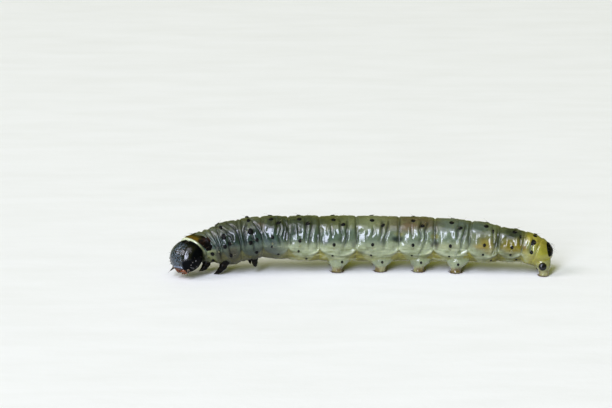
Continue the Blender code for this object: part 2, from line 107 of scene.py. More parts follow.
# Folds in the skin: segment, course as (degrees from the middle of the back, place along the
# segment), and depth. Both sides are alike.
FOLDS = (
    (0, ((0, 0.60), (45, 0.64), (85, 0.72), (110, 0.74)), 0.030),
    (0, ((0, 0.78), (45, 0.80), (90, 0.85), (130, 0.84)), 0.034),
    (1, ((0, 0.02), (12, 0.08), (32, 0.26), (58, 0.56), (74, 0.62)), 0.042),
    (1, ((0, 0.46), (20, 0.66), (45, 0.89), (62, 0.96)), 0.040),
    (1, ((60, 0.40), (90, 0.36), (118, 0.42)), 0.026),
    (2, ((0, 0.22), (22, 0.16), (55, 0.14), (80, 0.12)), 0.030),
    (2, ((28, 0.36), (45, 0.28), (70, 0.22), (98, 0.20)), 0.042),
    (2, ((0, 0.50), (22, 0.62), (52, 0.86), (72, 0.93)), 0.044),
    (2, ((58, 0.58), (85, 0.54), (112, 0.58)), 0.024),
    (3, ((0, 0.50), (30, 0.54), (68, 0.52)), 0.036),
    (3, ((40, 0.68), (70, 0.63), (100, 0.66)), 0.034),
    (3, ((0, 0.80), (40, 0.81), (80, 0.79)), 0.030),
    (3, ((30, 0.91), (85, 0.90)), 0.024),
    (4, ((0, 0.50), (40, 0.525), (80, 0.52)), 0.038),
    (4, ((0, 0.76), (50, 0.69), (75, 0.65), (102, 0.62)), 0.036),
    (4, ((38, 0.27), (64, 0.28)), 0.016),
    (4, ((62, 0.89), (104, 0.90)), 0.020),
    (5, ((0, 0.55), (35, 0.55), (66, 0.59)), 0.036),
    (5, ((0, 0.78), (45, 0.75), (66, 0.71), (100, 0.66)), 0.040),
    (5, ((40, 0.28), (70, 0.31)), 0.018),
    (6, ((0, 0.57), (40, 0.575), (68, 0.60)), 0.034),
    (6, ((0, 0.76), (60, 0.71), (100, 0.64)), 0.038),
    (6, ((44, 0.36), (66, 0.38)), 0.016),
    (7, ((0, 0.58), (40, 0.59), (70, 0.63)), 0.034),
    (7, ((0, 0.80), (60, 0.76), (96, 0.70), (120, 0.58)), 0.038),
    (7, ((40, 0.34), (68, 0.36)), 0.018),
    (8, ((0, 0.64), (44, 0.65), (68, 0.68)), 0.034),
    (8, ((0, 0.86), (60, 0.82), (98, 0.75), (118, 0.66)), 0.036),
    (9, ((0, 0.70), (32, 0.75), (78, 0.80)), 0.030),
    (9, ((0, 0.90), (55, 0.91), (84, 0.86), (112, 0.80)), 0.032),
    (10, ((0, 0.74), (40, 0.84), (72, 0.87)), 0.026),
    (11, ((0, 0.50), (50, 0.52), (90, 0.58)), 0.018),
)
FOLD_WIDTH, FOLD_FADE = 0.058, 11.0
CREASE_DEPTH, CREASE_WIDTH = 0.060, 0.050
# How far the skin steps down behind each joint, and the slope that ends at each fold
SHOULDER, SHOULDER_LENGTH = 0.072, 0.37
FACET_DEPTH, FACET_LENGTH = 0.026, 0.15

# Slanting pleats of the skin behind the head: how high, and how far apart
PLEAT_HEIGHT, PLEAT_SIZE = 0.038, 0.18

# The pale wavy ridge low on each side: its height in degrees at a joint and how far it hangs
RIDGE_ANGLE, RIDGE_HANG = 102.0, 16.0
RIDGE_HEIGHT, RIDGE_WIDTH = 0.045, 4.6

# The collar of soft skin round the back of the head
COLLAR_FRONT = -0.12
COLLAR_SWELL = 0.035

# How much lower the belly hangs under the first segments than in the solids
THROAT_SAG = 0.17

# The skin is cast round plain forms and then smoothed: the size of its cells, how often all of
# it and its seams are drawn towards their neighbours and how far, and how wide a seam spreads
SKIN_VOXEL = 0.028
CAST_ROUNDS, SEAM_ROUNDS, RELAX_SHARE, SEAM_SPREAD = 3, 22, 0.6, 4
TUBE_RINGS, TUBE_SIDES, FOOT_SIDES, BOSS_SIDES = 22, 96, 32, 28
# Rings at the ends of the body: as shares of the collar's reach, and places in the last segment
FRONT_RINGS = (0.999, 0.9, 0.7, 0.4)
TAIL_RINGS = (0, 0.1, 0.2, 0.3, 0.4, 0.5, 0.6, 0.7, 0.78, 0.85, 0.9, 0.94, 0.97, 0.99, 0.998)
# A proleg's rings: height, how far in towards the body, shift back, and half widths along X and Y
PROLEG_RINGS = (
    (0.0, 0.0, 0.0, 0.22, 0.20),
    (0.03, 0.0, 0.0, 0.25, 0.23),
    (0.09, 0.0, 0.0, 0.25, 0.23),
    (0.16, 0.02, 0.0, 0.235, 0.22),
    (0.24, 0.05, 0.01, 0.27, 0.25),
    (0.34, 0.10, 0.03, 0.36, 0.32),
    (0.45, 0.16, 0.06, 0.48, 0.38),
    (0.60, 0.24, 0.09, 0.62, 0.44),
    (0.80, 0.38, 0.10, 0.72, 0.49),
    (1.05, 0.55, 0.08, 0.68, 0.44),
)
ANAL_RINGS = (
    (0.0, 0.0, 0.0, 0.21, 0.18),
    (0.03, 0.0, 0.0, 0.24, 0.21),
    (0.09, 0.0, 0.0, 0.235, 0.21),
    (0.16, 0.02, 0.0, 0.225, 0.20),
    (0.26, 0.05, 0.0, 0.26, 0.23),
    (0.38, 0.12, 0.0, 0.31, 0.27),
    (0.55, 0.25, 0.0, 0.36, 0.30),
    (0.75, 0.45, 0.0, 0.38, 0.30),
    (0.95, 0.7, 0.0, 0.30, 0.24),
)
# A leg's boss of skin: how deep it starts, its other rings from the root outwards, and radii
BOSS_SINK, BOSS_STEPS, BOSS_RADII = 0.4, (-0.2, -0.06, 0.01), (0.36, 0.34, 0.29, 0.21)
# How much further the skin comes down the front legs than in the solids
FRONT_BOSS = 0.20
# Places along the body: the end of the thorax, a place between the legs and the first prolegs,
# and one between the middle and the hind prolegs
THORAX_END, LEGS_END, HIND_FEET = 3.0, 4.5, 11.5

# Plates that carry bristles: place along the segment, degrees from the back, radius
ABDOMEN_SPOTS = (
    (0.37, 21, 0.085),
    (0.63, 38, 0.085),
    (0.38, 90, 0.095),
    (0.35, 121, 0.070),
    (0.62, 151, 0.075),
)
THORAX_SPOTS = (
    (0.00, 18, 0.080),
    (0.00, 56, 0.115),
    (-0.04, 86, 0.085),
    (0.25, 80, 0.075),
    (0.22, 117, 0.070),
)
FRONT_SPOTS = ((0.44, 113, 0.085), (0.30, 138, 0.075))
REAR_SPOTS = ((0.60, 11, 0.070), (0.62, 45, 0.125), (0.72, 84, 0.105))
# Each segment's plates, how far back they are moved, and a factor for their degrees
SPOT_ROWS = (
    (0, FRONT_SPOTS, 0.0, 1.0),
    (1, THORAX_SPOTS, 0.19, 1.0),
    (2, THORAX_SPOTS, 0.48, 1.0),
    (3, ABDOMEN_SPOTS, -0.01, 0.83),
    (4, ABDOMEN_SPOTS, -0.03, 0.91),
    (5, ABDOMEN_SPOTS, 0.0, 1.0),
    (6, ABDOMEN_SPOTS, 0.0, 1.0),
    (7, ABDOMEN_SPOTS, 0.03, 1.0),
    (8, ABDOMEN_SPOTS, 0.10, 1.0),
    (9, ABDOMEN_SPOTS, 0.15, 0.91),
    (10, ABDOMEN_SPOTS, 0.20, 0.90),
    (11, REAR_SPOTS, 0.0, 1.0),
)
# Over a proleg the lowest plate stands higher
PROLEG_SPOT = 137.0
# A plate's rings, as shares of its radius and heights
PLATE_PROFILE = (
    (1.04, -0.060),
    (1.02, -0.008),
    (0.96, 0.006),
    (0.82, 0.013),
    (0.60, 0.018),
    (0.34, 0.021),
    (0.20, 0.024),
    (0.13, 0.018),
    (0.05, 0.017),
)

# Hairs: rings and sides of each, and the place behind which they all lean back
BRISTLE_RINGS, BRISTLE_SIDES, TAIL_HAIRS = 9, 5, 10.5
# Hairs of the head: direction as left, out of the face and to the mouth, and length
HEAD_HAIRS = (
    (0.28, 0.80, -0.50, 0.176),
    (0.52, 0.70, -0.20, 0.176),
    (0.26, 0.90, 0.10, 0.144),
    (0.16, 0.92, 0.42, 0.128),
    (0.46, 0.76, 0.45, 0.144),
    (0.74, 0.45, 0.10, 0.176),
    (0.90, 0.12, -0.15, 0.176),
    (0.86, 0.10, 0.42, 0.16),
    (0.66, 0.30, 0.68, 0.16),
    (0.60, -0.15, 0.76, 0.16),
    (0.10, 0.86, 0.66, 0.112),
)
# Hairs of each shield: degrees and places, then lift, steepness, way (1 is forward) and length
SHIELD_HAIRS = (
    (((14, 0.16), (40, 0.22), (66, 0.30), (24, 0.36), (52, 0.50), (78, 0.46)), 0.03, 0.5, 1, 0.24),
    (((12, 12.42), (30, 12.50), (46, 12.55), (20, 12.72)), 0.02, 0.6, -1, 0.34),
)

# Breathing holes: place in a segment and degrees, the first one's place and degrees, the radii
# of most and of the last, and rings as share of the radius, height and shade
SPIRACLE_PLACE, SPIRACLE_ANGLE = 0.38, 100.0
THORAX_SPIRACLE = (0.80, 104.0)
SPIRACLE_RADIUS, LAST_SPIRACLE_RADIUS = 0.046, 0.062
SPIRACLE_PROFILE = (
    (1.15, -0.03, 0.3),
    (1.10, 0.004, 0.6),
    (0.95, 0.020, 1.0),
    (0.78, 0.024, 1.0),
    (0.62, 0.016, 0.7),
    (0.52, 0.000, 0.15),
    (0.40, -0.010, 0.0),
    (0.10, -0.014, 0.0),
)

# Shields: front and rear edges at the middle and at the sides, and reach in degrees
SHIELDS = (
    ("prothoracic_shield", 0, (0.06, 0.38), (0.16, 0.62), 98.0),
    ("anal_shield", LAST, (0.34, 0.96), (0.80, 0.94), 72.0),
)
SHIELD_LIFT, SHIELD_DIP, SHIELD_CORNER = 0.035, 0.03, 0.4
SHIELD_MESH = (40, 120)

# Legs, as in the solids: pair, segment, side, place along the segment, and tip
LEG_ROOT_ANGLE = 147.0
LEG_BOSS, LEG_LEAN, LEG_BEND = 0.05, 0.9, 0.4
GAP = 0.1
LEGS = (
    ("front", 0, 1, 0.18, (-7.62, -1.42, 0.26)),
    ("front", 0, -1, 0.42, (-7.95, -0.44, 0.30)),
    ("middle", 1, 1, 0.15, (-6.93, -1.01, 0.00)),
    ("middle", 1, -1, 0.34, (-6.69, 0.04, 0.00)),
    ("hind", 2, 1, 0.61, (-4.97, -0.70, 0.29)),
    ("hind", 2, -1, 0.50, (-5.22, 0.02, 0.20)),
)
# The girth of each pair, as a factor, and how far the jointed leg starts inside its boss
LEG_KINDS = {"front": (1.16, 0.34), "middle": (1.0, 0.34), "hind": (0.82, 0.24)}
# A leg's rings: place from root to tip, radius and shade
LEG_PROFILE = (
    (0.00, 0.245, 0.35),
    (0.06, 0.262, 0.10),
    (0.20, 0.240, 0.0),
    (0.29, 0.196, 0.10),
    (0.315, 0.178, 0.65),
    (0.34, 0.192, 0.15),
    (0.42, 0.196, 0.0),
    (0.53, 0.158, 0.05),
    (0.555, 0.138, 0.65),
    (0.58, 0.148, 0.10),
    (0.66, 0.140, 0.0),
    (0.76, 0.104, 0.05),
    (0.78, 0.090, 0.6),
    (0.80, 0.092, 0.10),
    (0.87, 0.070, 0.15),
    (0.90, 0.044, 0.3),
    (0.95, 0.032, 0.45),
    (0.985, 0.018, 0.5),
    (1.0, 0.006, 0.5),
)

# Prolegs, as in the solids: segment, place along it, and how far out the foot stands
PROLEGS = (
    (5, 0.48, 0.56),
    (6, 0.57, 0.55),
    (7, 0.57, 0.56),
    (8, 0.62, 0.60),
)
ANAL_FOOT, ANAL_SPREAD, ANAL_LEAN = (8.58, -0.82), 0.50, 0.10
ANAL_PLATE_PROFILE = ((1.05, -0.10), (1.0, -0.02), (0.9, 0.03), (0.7, 0.06), (0.4, 0.08), (0.1, 0.085))
# Hooks: how many on a middle and on a hind foot, their sizes, and the soles' half widths
HOOKS, HOOK_SIZES, SOLE = 18, (0.100, 0.140), (0.235, 0.215)
HIND_HOOKS, HIND_HOOK_SIZE, HIND_SOLE = 20, 0.095, (0.225, 0.20)
SOLE_LEVEL = 0.035

# Head, as in the solids
HEAD_CENTRE = np.array((-8.18, -1.45, 0.99))
HEAD_YAW, FACE_LEAN = math.radians(55), math.radians(50)
HEAD_HALF_WIDTH, HEAD_HALF_HEIGHT = 0.80, 0.80
HEAD_FRONT_DEPTH, HEAD_REAR_DEPTH = 0.70, 0.60
MOUTH_LEVEL = 0.72
HEAD_MESH = (150, 220)
# Lines that part the face's middle triangle from its sides: half widths at levels to the mouth
SUTURE_LEVELS, SUTURE_HALF_WIDTHS = (-0.30, 0.05, 0.45, 0.80), (0.0, 0.10, 0.22, 0.30)

# Band above the lip, lip and jaw: rings as place past the mouth's level, place across, half
# width, half depth, how far out of the face, and shade
# The band's pale bluish middle rings are its own pale skin and also a painted glint.
CLYPEUS = (
    (-0.12, 0.0, 0.27, 0.11, 0.245, 0.0),
    (-0.03, 0.0, 0.27, 0.105, 0.25, 0.5),
    (0.01, 0.0, 0.255, 0.09, 0.25, 1.0),
    (0.035, 0.0, 0.235, 0.07, 0.245, 0.8),
)
LIP = (
    (-0.08, 0.0, 0.26, 0.10, 0.235, 0.1),
    (-0.01, 0.0, 0.25, 0.09, 0.24, 0.1),
    (0.03, 0.0, 0.23, 0.07, 0.24, 0.1),
    (0.07, 0.0, 0.205, 0.05, 0.235, 0.35),
    (0.10, 0.0, 0.17, 0.032, 0.225, 0.8),
    (0.115, 0.0, 0.13, 0.012, 0.22, 1.0),
)
JAW = (
    (-0.08, 0.17, 0.15, 0.15, 0.02, 0.6),
    (0.00, 0.17, 0.145, 0.135, 0.02, 0.8),
    (0.06, 0.15, 0.13, 0.11, 0.03, 0.9),
    (0.11, 0.11, 0.10, 0.08, 0.04, 0.7),
    (0.15, 0.07, 0.06, 0.05, 0.05, 0.2),
    (0.165, 0.055, 0.02, 0.02, 0.05, 0.0),
)
# Maxilla with its palp, and lower lip with the spinneret: places across, past the mouth's level
# and out of the face, radius and shade
MAXILLA = (
    (0.20, -0.12, -0.18, 0.13, 0.3),
    (0.20, -0.02, -0.18, 0.12, 0.5),
    (0.19, 0.02, -0.17, 0.09, 0.7),
    (0.185, 0.04, -0.16, 0.055, 0.9),
    (0.18, 0.07, -0.15, 0.045, 0.3),
    (0.175, 0.08, -0.15, 0.032, 0.8),
    (0.17, 0.115, -0.14, 0.024, 0.3),
    (0.17, 0.12, -0.14, 0.008, 0.3),
)
LOWER_LIP = (
    (0.0, -0.14, -0.27, 0.17, 0.4),
    (0.0, -0.03, -0.27, 0.15, 0.6),
    (0.0, 0.02, -0.25, 0.11, 0.8),
    (0.0, 0.05, -0.24, 0.06, 0.5),
    (0.0, 0.08, -0.23, 0.032, 0.3),
    (0.0, 0.135, -0.21, 0.020, 0.2),
    (0.0, 0.14, -0.21, 0.006, 0.2),
)

# Feelers: base and tip as places across, past the mouth's level and out of the face, and rings
# as place from base to tip, radius and shade; the last ones are the bristle past the tip
FEELER_BASE, FEELER_TIP = (0.40, -0.10, 0.02), (0.53, 0.24, 0.09)
FEELER_PROFILE = (
    (0.0, 0.085, 0.5),
    (0.20, 0.076, 0.5),
    (0.29, 0.060, 0.6),
    (0.31, 0.046, 0.1),
    (0.45, 0.043, 0.0),
    (0.48, 0.033, 0.5),
    (0.51, 0.035, 0.0),
    (0.69, 0.031, 0.0),
    (0.72, 0.018, 0.5),
    (0.77, 0.016, 0.1),
    (0.80, 0.009, 0.2),
    (1.00, 0.006, 0.3),
    (1.18, 0.003, 0.4),
)

# Eyes: the middle of their arc as left, out of the face and to the mouth, how far from it they
# stand, where round it, and rings as share of the radius, height and shade
EYE_MIDDLE = unit((0.83, 0.12, 0.45))
EYE_ARC, EYE_RADIUS = 0.26, 0.036
EYE_TURNS = (-150, -100, -55, -10, 35, 90)
EYE_PROFILE = (
    (1.25, -0.03, 0.3),
    (1.2, 0.001, 0.5),
    (1.0, 0.005, 0.3),
    (0.92, 0.012, 0.0),
    (0.75, 0.019, 0.0),
    (0.45, 0.024, 0.0),
    (0.1, 0.026, 0.0),
)

# The size of the grain in black cuticle, and the radius of a hair's spot on the bake's map
BLACK_GRAIN, MAP_SPOT = 0.05, 0.0015

# Stage: the floor in metres, as it stays; lamps with degrees left of the camera, degrees up,
# width, length, glow and colour; and the colour of the room
FLOOR_HALF, FLOOR_LINES = 1.2, 13
LAMP_TARGET, LAMP_DISTANCE = np.array((0.0, 0.0, 1.2)), 900.0
LAMPS = (
    ("window", 20.0, 31.0, 235.0, 980.0, 16.6, (0.76, 0.80, 1.0)),
    ("side_window", 74.0, 40.0, 440.0, 400.0, 5.8, (0.93, 0.89, 1.0)),
    ("sky", 4.0, 70.0, 520.0, 420.0, 2.2, (0.86, 0.88, 1.0)),
)
ROOM_COLOUR, ROOM_STRENGTH = (0.95, 1.0, 0.16, 1.0), 0.23

# Camera: the photo's middle in the solids' frame, its slope, and the photo's scale
CAMERA_TARGET = (-2.589, 0.0, 3.146)
CAMERA_TILT, CAMERA_DISTANCE, SENSOR_WIDTH = math.radians(15), 200.0, 36.0
PHOTO_WIDTH, POINTS_PER_MM = 612, 21.24


def fade_in(low, high, value):
    """0 at low, 1 at high and a smooth change between."""
    t = np.clip((np.asarray(value, float) - low) / (high - low), 0.0, 1.0)
    return t * t * (3.0 - 2.0 * t)


def fade_out(low, high, value):
    """1 at low and 0 at high."""
    return 1.0 - fade_in(low, high, value)


def within(start, full, waning, end, value):
    """0 up to start, 1 from full to waning and 0 from end on."""
    return fade_in(start, full, value) * fade_out(waning, end, value)


def bump(value, middle, width):
    """1 at the middle, fading to both sides."""
    return np.exp(-(((np.asarray(value, float) - middle) / width) ** 2))


def mixed(a, b, share):
    """a where the share is 0 and b where it is 1, for arrays of colours."""
    share = np.asarray(share, float)[..., None]
    return a * (1.0 - share) + b * share


def lattice(cells, seed):
    """A random number from 0 to 1 for each cell of whole numbers."""
    cells = cells.astype(np.int64)
    mix = cells[..., 0] * 374761393 + cells[..., 1] * 668265263
    mix = (mix + cells[..., 2] * 2246822519 + seed * 3266489917) & 0xFFFFFFFF
    mix = ((mix ^ (mix >> 13)) * 1274126177) & 0xFFFFFFFF
    return ((mix ^ (mix >> 16)) & 0xFFFFFF) / float(0xFFFFFF)


def noise(points, size, seed):
    """Smooth noise from -1 to 1, its bumps about one size apart."""
    scaled = np.asarray(points, float) / size
    low = np.floor(scaled)
    t = scaled - low
    t = t * t * (3.0 - 2.0 * t)
    total = 0.0
    for corner in range(8):
        step = np.array([(corner >> k) & 1 for k in range(3)])
        weight = np.prod(np.where(step == 1, t, 1.0 - t), axis=-1)
        total = total + weight * lattice(low + step, seed)
    return total * 2.0 - 1.0


def linear(red, green, blue):
    """A colour given as it shows on a screen, from 0 to 255, in linear light."""
    colour = np.array((red, green, blue), float) / 255.0
    return np.where(colour <= 0.04045, colour / 12.92, ((colour + 0.055) / 1.055) ** 2.4)


# The spine and the body's surface, for whole arrays of places


def segment_at(s):
    """Segment indices and the places along them."""
    s = np.asarray(s, float)
    index = np.clip(np.floor(s), 0, LAST).astype(int)
    return index, s - index


def spine(s):
    """Points on the spine."""
    index, u = segment_at(s)
    chord = CHORDS[index][..., None]
    start, end = JOINTS[index], JOINTS[index + 1]
    ahead = np.minimum(u, 0.0)[..., None]
    u = np.maximum(u, 0.0)[..., None]
    point = (
        start * (2 * u**3 - 3 * u**2 + 1)
        + DIRECTIONS[index] * chord * (u**3 - 2 * u**2 + u)
        + end * (3 * u**2 - 2 * u**3)
        + DIRECTIONS[index + 1] * chord * (u**3 - u**2)
    )
    return point + DIRECTIONS[index] * chord * ahead


def spine_frame(s):
    """Points on the spine with their forward, left and dorsal directions."""
    index, u = segment_at(s)
    u = np.maximum(u, 0.0)[..., None]
    before, after = DIRECTIONS[index], DIRECTIONS[index + 1]
    before = before / np.linalg.norm(before, axis=-1, keepdims=True)
    forward = -(before * (1 - u) + after * u)
    forward = forward / np.linalg.norm(forward, axis=-1, keepdims=True)
    dorsal = UP - forward * forward[..., 2:3]
    dorsal = dorsal / np.linalg.norm(dorsal, axis=-1, keepdims=True)
    return spine(s), forward, np.cross(dorsal, forward), dorsal


def outward_of(degrees, left, dorsal):
    """Directions away from the spine; positive degrees are on the left side."""
    turn = np.radians(np.asarray(degrees, float))[..., None]
    return dorsal * np.cos(turn) + left * np.sin(turn)


def wrapped(degrees):
    """Degrees brought to between -180 and 180."""
    return (np.asarray(degrees, float) + 180.0) % 360.0 - 180.0


def filling(index, degrees):
    """How far the skin bridges the narrow places between the solids, from 0 to 1."""
    ends = np.where(index >= LAST - 2, BRIDGE_TAIL, BRIDGE_BACK)
    return ends + (np.minimum(ends, BRIDGE_FLANK) - ends) * fade_in(15.0, 50.0, degrees)


def plain_radius(s, degrees):
    """The body's radius without its folds. Degrees run from the middle of the back."""
    index, u = segment_at(s)
    degrees = np.abs(wrapped(degrees))
    top = np.maximum(np.cos(np.radians(degrees)), 0.0)
    start, end = CREASES[index], CREASES[index + 1]
    fill = filling(index, degrees)
    tail = start + SWELLS[LAST] * fill
    tail = tail * (1.0 - np.clip(u, 0.0, 1.0) ** TAIL_BLUNTNESS) ** 0.5
    tail = tail * (1.0 - TAIL_SLOPE * top * fade_in(0.0, 0.7, u))
    arch = np.sin(math.pi * np.clip(u, 0.0, 1.0))
    lobe = bump(degrees, LOBE_ANGLE, LOBE_SPREAD)
    crease = (start + (end - start) * np.maximum(u, 0.0)) * (1.0 - LOBE_PINCH * lobe)
    shared = SWELLS[index] + (SWELLS[index + 1] - SWELLS[index]) * np.clip(u, 0.0, 1.0)
    full = GIRTHS[index] - (start + end) / 2
    swell = shared * fill + (full - shared * fill) * arch**PLUMPNESS
    swell = swell - np.where(index == 0, SHIELD_FLATTENING * top * arch * (1.0 - u), 0.0)
    belly = 1.0 - BELLY_FLATTENING * fade_in(BELLY_ANGLE, 180.0, degrees)
    radius = (crease + swell * (1.0 + LOBE_SWELL * lobe)) * belly
    radius = np.where(index == LAST, tail, radius)
    collar = np.where(index == 0, COLLAR_SWELL * bump(u, 0.03, 0.06), 0.0)
    front = np.sqrt(np.clip(1.0 - (np.minimum(u, 0.0) / COLLAR_FRONT) ** 2, 0.0, 1.0))
    return (radius + collar) * front


def ridge_angle(s):
    """Where the side's wavy ridge runs, in degrees from the back."""
    _, u = segment_at(s)
    lean = np.clip(u, 0, 1) ** 1.25
    return RIDGE_ANGLE + RIDGE_HANG * np.sin(math.pi * lean) ** 0.8


def in_abdomen(s):
    """1 over the abdomen's ringed segments, fading to the thorax and the tail."""
    return within(2.6, 3.4, 10.6, 11.6, s)


def fold_depth(s, degrees):
    """How far the folds and creases sink the skin."""
    index, u = segment_at(s)
    turned = wrapped(degrees)
    away = np.abs(turned)
    side = np.where(turned > 0, 1.0, 0.0)
    wander = 0.03 * noise(np.stack([s * 3.0, away / 25.0, side * 9.0], axis=-1), 1.0, 5)
    depth = np.zeros_like(u)
    for which, course, deep in FOLDS:
        turns, places = zip(*course)
        gap = (u - np.interp(away, turns, places) - wander) * CHORDS[which]
        ends = fade_out(turns[-1] - FOLD_FADE, turns[-1] + FOLD_FADE, away)
        if turns[0] > 0:
            ends = ends * fade_in(turns[0] - FOLD_FADE, turns[0] + FOLD_FADE, away)
        groove = bump(gap, 0.0, FOLD_WIDTH)
        facet = np.clip(1.0 - gap / FACET_LENGTH, 0.0, 1.0) * fade_in(-0.03, 0.01, gap)
        facet = facet - 0.5 * bump(gap, -2.0 * FOLD_WIDTH, 1.3 * FOLD_WIDTH)
        scale = 1.7 if which < THORAX_END else 0.5 + fade_in(12.0, 38.0, away)
        sunk = 0.8 * deep * groove + FACET_DEPTH * facet * fade_in(10.0, 30.0, away)
        depth = depth + np.where(index == which, scale * ends * sunk, 0.0)
    joint = np.abs(s - np.round(s) + 0.6 * wander) * CHORDS[index]
    open_end = (s < 0.5) | (s > LAST + 0.5)
    share = 0.75 + 0.25 * fade_in(10.0, 45.0, away) - 0.90 * fade_in(104.0, 120.0, away)
    share = share * (1.0 - 0.55 * fade_in(10.4, 11.4, s))
    crease = CREASE_DEPTH * share * bump(joint, 0.0, CREASE_WIDTH)
    return depth + np.where(open_end, 0.0, crease)


def unevenness(s, degrees):
    """Lumps, fine wrinkles and slanting pleats, as heights."""
    away = np.abs(degrees)
    _, u = segment_at(s)
    chart = np.stack([s * 1.4, degrees / 57.0, np.zeros_like(s)], axis=-1)
    along = np.stack([s * 1.4, degrees / 300.0, np.ones_like(s)], axis=-1)
    leaning = np.stack([(s - away / 130.0) * 1.4, degrees / 420.0, np.ones_like(s)], axis=-1)
    lumps = 0.018 * noise(chart, 0.45, 1) + 0.008 * fade_in(1.5, 3.5, s) * noise(chart, 0.17, 2)
    wrinkles = noise(along, 0.085, 3) * (0.35 + bump(np.minimum(u, 1 - u), 0.0, 0.2))
    pleats = PLEAT_HEIGHT * noise(leaning, PLEAT_SIZE, 4) * fade_out(2.8, 3.8, s)
    pleats = pleats * fade_in(8.0, 30.0, away) * (1.0 - 0.5 * fade_in(88.0, 108.0, away))
    return within(0.1, 0.6, LAST + 0.2, LAST + 0.8, s) * (lumps + 0.005 * wrinkles + pleats)


def skin_radius(s, degrees):
    """The radius with folds, ridge, sagging throat and unevenness."""
    s, degrees = np.broadcast_arrays(np.asarray(s, float), wrapped(degrees))
    away = np.abs(degrees)
    index, u = segment_at(s)
    abdomen = in_abdomen(s)
    radius = plain_radius(s, degrees) - fold_depth(s, degrees)
    shoulder = np.clip(1.0 - u * CHORDS[index] / SHOULDER_LENGTH, 0.0, 1.0)
    radius = radius - SHOULDER * shoulder * within(34.0, 52.0, 84.0, 98.0, away) * abdomen
    rear = 0.35 + 0.65 * fade_in(0.45, 0.8, u) + 0.3 * bump(u, 0.0, 0.12)
    ridge = bump(away, ridge_angle(s), RIDGE_WIDTH) - 0.5 * bump(away, ridge_angle(s) - 10.0, 5.0)
    radius = radius + RIDGE_HEIGHT * abdomen * rear * fade_in(3.5, 4.6, s) * ridge
    hollow = abdomen * bump(away, 132.0, 15.0) * (1.0 - np.sin(math.pi * np.clip(u, 0, 1)))
    sag = within(-0.05, 0.2, 1.7, 2.5, s) * fade_in(105.0, 140.0, away)
    return radius - 0.09 * hollow + THROAT_SAG * sag + unevenness(s, degrees)


def skin_point(s, degrees):
    """Points of the skin."""
    centre, _, left, dorsal = spine_frame(s)
    return centre + outward_of(degrees, left, dorsal) * skin_radius(s, degrees)[..., None]


def locate(points):
    """Place along the spine, degrees from the back and distance from the spine."""
    s = np.interp(points[:, 0], JOINTS[:, 0], np.arange(len(JOINTS)))
    step = 1e-4
    for _ in range(14):
        centre, forward, _, _ = spine_frame(s)
        off = ((points - centre) * forward).sum(axis=1)
        centre, forward, _, _ = spine_frame(s + step)
        slope = (((points - centre) * forward).sum(axis=1) - off) / step
        s = np.clip(s - np.clip(off / slope, -0.4, 0.4), COLLAR_FRONT, LAST + 0.999)
    centre, forward, left, dorsal = spine_frame(s)
    out = points - centre
    degrees = np.degrees(np.arctan2((out * left).sum(axis=1), (out * dorsal).sum(axis=1)))
    return s, degrees, np.linalg.norm(out, axis=1)


# Mesh tools


def new_object(name, points, faces, smooth=True):
    """An object from arrays; faces are lists of vertex numbers or an array of quads."""
    mesh = bpy.data.meshes.new(name)
    points = np.asarray(points, float)
    if isinstance(faces, np.ndarray):
        mesh.vertices.add(len(points))
        mesh.vertices.foreach_set("co", points.ravel())
        mesh.loops.add(faces.size)
        mesh.loops.foreach_set("vertex_index", faces.ravel().astype(np.int32))
        mesh.polygons.add(len(faces))
        starts = np.arange(len(faces), dtype=np.int32) * faces.shape[1]
        mesh.polygons.foreach_set("loop_start", starts)
        mesh.update(calc_edges=True)
        mesh.validate()
    else:
        mesh.from_pydata(points.tolist(), [], faces)
    made = bpy.data.objects.new(name, mesh)
    bpy.context.scene.collection.objects.link(made)
    if smooth:
        mesh.shade_smooth()
    return made


def grid_faces(rows, columns, closed):
    """Quads between rows of points, joined round where closed."""
    across = np.arange(columns if closed else columns - 1)
    row, column = np.meshgrid(np.arange(rows - 1), across, indexing="ij")
    row, column = row.ravel(), column.ravel()
    after = (column + 1) % columns
    near, far = row * columns, (row + 1) * columns
    return np.stack([near + column, near + after, far + after, far + column], axis=1)


def tube_faces(rows, columns):
    """Faces of a closed tube, both ends covered."""
    faces = grid_faces(rows, columns, True).tolist()
    faces.append(list(range(columns))[::-1])
    faces.append([(rows - 1) * columns + k for k in range(columns)])
    return faces


class Shape:
    """Collects closed pieces into one mesh, each with its own place on the bake's map."""

    def __init__(self):
        self.points, self.faces, self.places, self.shades = [], [], [], []
        self.count = 0

    def add(self, points, faces, place=(0.0, 0.0), shade=0.0):
        """Adds a piece with its place on the map and a shade from 0 to 1 for each point."""
        points = np.asarray(points, float).reshape(-1, 3)
        self.points.append(points)
        self.faces += [[self.count + number for number in face] for face in faces]
        self.places += [place] * len(faces)
        shade = np.broadcast_to(np.asarray(shade, float), (len(points),))
        self.shades.append(shade)
        self.count += len(points)

    def loft(self, rings, place=(0.0, 0.0), shade=0.0):
        """Adds a closed tube through rings of points, with one shade or one for each ring."""
        rings = np.asarray(rings, float)
        rows, columns = rings.shape[:2]
        if np.ndim(shade) == 1:
            shade = np.repeat(shade, columns)
        self.add(rings, tube_faces(rows, columns), place, shade)

    def object(self, name, map_name=None):
        """The joined mesh object with its shades and, where it is named, the bake's map."""
        made = new_object(name, np.concatenate(self.points), self.faces)
        value_points(made, np.concatenate(self.shades), "Shade")
        if map_name:
            layer = made.data.uv_layers.new(name=map_name)
            for polygon, place in zip(made.data.polygons, self.places):
                total = polygon.loop_total
                for k in range(total):
                    turn = 2 * math.pi * k / total
                    step = MAP_SPOT * math.cos(turn), MAP_SPOT * math.sin(turn)
                    layer.data[polygon.loop_start + k].uv = place[0] + step[0], place[1] + step[1]
        return made


def ring(centre, across, along, half_across, half_along, sides):
    """Points round a centre."""
    turn = 2 * math.pi * np.arange(sides)[:, None] / sides
    step = np.cos(turn) * across * half_across
    return np.asarray(centre, float) + step + np.sin(turn) * along * half_along


